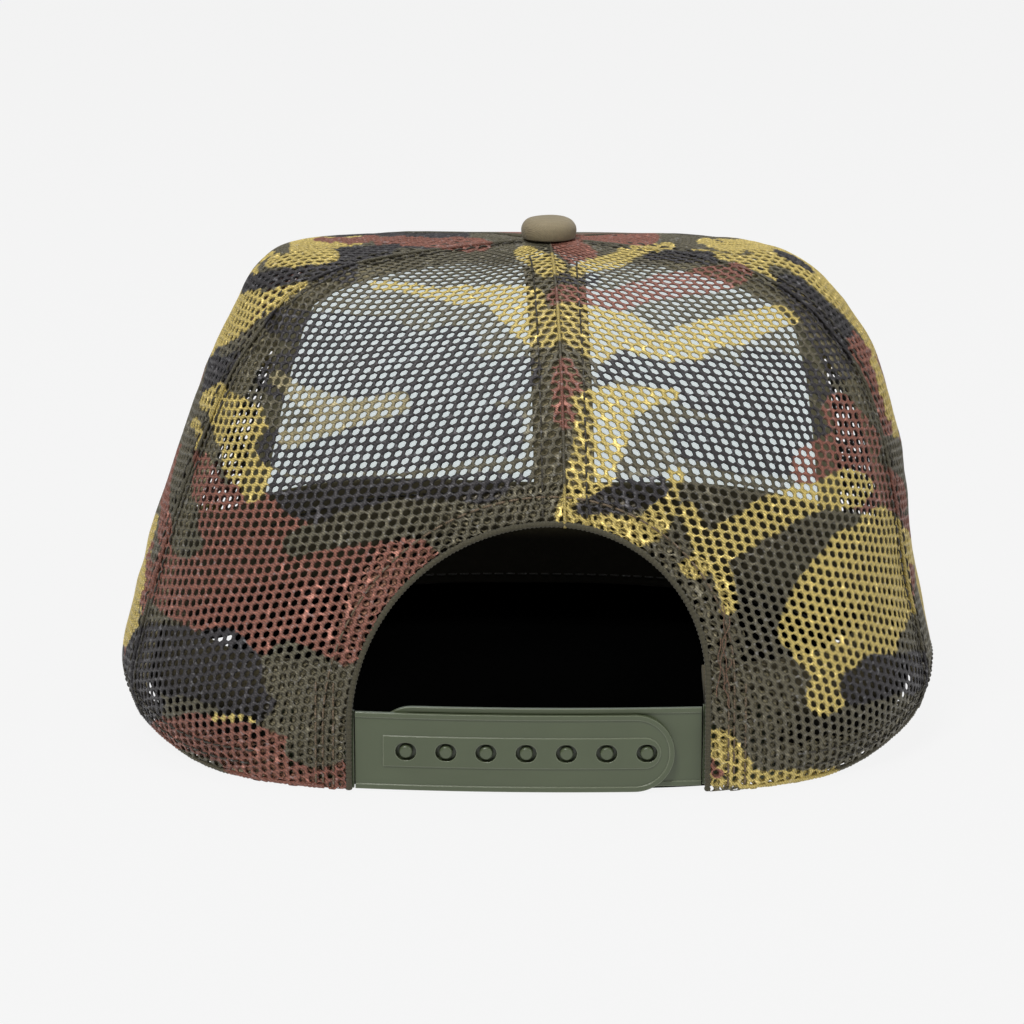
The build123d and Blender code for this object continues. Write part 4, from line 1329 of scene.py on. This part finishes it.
# The covered button: a dome with a turned-in rim, and soft gathers where the fabric is drawn under.
BUTTON_RIM = 2.2  # how high its widest place is above its base
low, high = (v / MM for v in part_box("button_cover"))
radius, base, peak = (high.x - low.x) / 2, low.z, high.z
turns = np.linspace(-0.55, math.pi / 2, 26)
across = np.array([radius * max(math.cos(turn), 0.0) ** 0.55 for turn in turns])
rise = np.array([math.sin(turn) for turn in turns])
height = base + BUTTON_RIM + np.where(rise < 0, rise * 4.2, rise * (peak - base - BUTTON_RIM))
spin = np.arange(0, 360, 4)
gather = 1 + 0.012 * np.sin(np.radians(spin) * 17) * np.clip(0.4 - rise, 0, 1)[:, None]
points = around_button(spin, across[:, None] * gather, np.maximum(height, base)[:, None])
dented = 0.1 * noise(points.reshape(-1, 3), 3.5, 97).reshape(gather.shape)
points[..., 2] += dented * np.clip(rise, 0, 1)[:, None]
sides, caps = tube_faces(len(across), len(spin))
button = make("button", points.reshape(-1, 3), [sides, caps[:1]], BUTTON, "button_fabric")
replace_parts(button, "button_cover")

# ------------------------------------------------------------ CAD nodes

KEPT = {
    "hole_strap": PLASTIC,
    "hole_strap_tab": PLASTIC,
    "peg_strap": PLASTIC,
    "peg_strap_tab": PLASTIC,
    "button_shell": METAL,
    "button_rivet": METAL,
}
for node, material in KEPT.items():
    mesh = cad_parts[node].data
    mesh.materials.clear()
    mesh.materials.append(material)

# ------------------------------------------------------------ studio


def stage_sheet(name, points, material):
    """A flat sheet that isn't part of the object, from the points round it in metres."""
    mesh = bpy.data.meshes.new(name)
    mesh.from_pydata([tuple(p) for p in points], [], [tuple(range(len(points)))])
    mesh.materials.append(material)
    piece = bpy.data.objects.new(name, mesh)
    bpy.context.scene.collection.objects.link(piece)


# The floor is lit mostly by itself, so that it is as pale near the cap as far off.
FLOOR, FLOOR_GLOW = 0.03, 0.882
material, _, node = shader("floor", (FLOOR, FLOOR, FLOOR), 0.9, 0.0, 0.0)
node.inputs["Emission Color"].default_value = (1, 1, 1, 1)
node.inputs["Emission Strength"].default_value = FLOOR_GLOW
stage_sheet("floor", [(-9, -6, 0), (9, -6, 0), (9, 14, 0), (-9, 14, 0)], material)

# A black card, painted shade, lies just over the floor inside the hem and under the visor, so that the
# opening looks dark.
SHADE_CARD_LIFT, SHADE_CARD_INSIDE, SHADE_CARD_UNDER_VISOR = 0.2, 6, 9
material, *_ = shader("painted_shade_card", (0.002, 0.002, 0.002), 1.0, 0.0, 0.0)
turns = np.arange(0, 360, 3.0)
under_visor = np.interp(turns, seam_turns, free_reach, left=0, right=0) - SHADE_CARD_UNDER_VISOR
reach = np.maximum(reach_at(turns, 0.0) - SHADE_CARD_INSIDE, under_visor)
stage_sheet("painted_shade_card", around_button(turns, reach, SHADE_CARD_LIFT) * MM, material)

world = bpy.data.worlds.new("studio")
bpy.context.scene.world = world
world.use_nodes = True
world.node_tree.nodes["Background"].inputs["Color"].default_value = (1, 1, 1, 1)
world.node_tree.nodes["Background"].inputs["Strength"].default_value = 0.22


def area_light(name, place, target, size, power):
    """A square soft light aimed at a place."""
    data = bpy.data.lights.new(name, "AREA")
    data.size, data.energy = size, power
    light = bpy.data.objects.new(name, data)
    bpy.context.scene.collection.objects.link(light)
    light.location = place
    light.rotation_euler = (Vector(target) - Vector(place)).to_track_quat("-Z", "Y").to_euler()


area_light("key", (-0.45, -1.0, 1.5), (0, 0, 0.06), 0.5, 20)
area_light("fill", (1.3, -1.1, 0.9), (0, 0, 0.06), 1.1, 7)
area_light("top", (0.0, 0.3, 1.6), (0, 0, 0.05), 0.8, 11)

camera_data = bpy.data.cameras.new("camera")
camera_data.lens = 134.2
camera_data.sensor_width = 36
camera_data.clip_start, camera_data.clip_end = 0.01, 60
camera = bpy.data.objects.new("camera", camera_data)
bpy.context.scene.collection.objects.link(camera)
axes = Matrix((RIGHT, UP, -LOOK)).transposed()
camera.matrix_world = Matrix.Translation(Vector(EYE * MM)) @ axes.to_4x4()
bpy.context.scene.camera = camera

bpy.context.scene.view_settings.view_transform = "Standard"
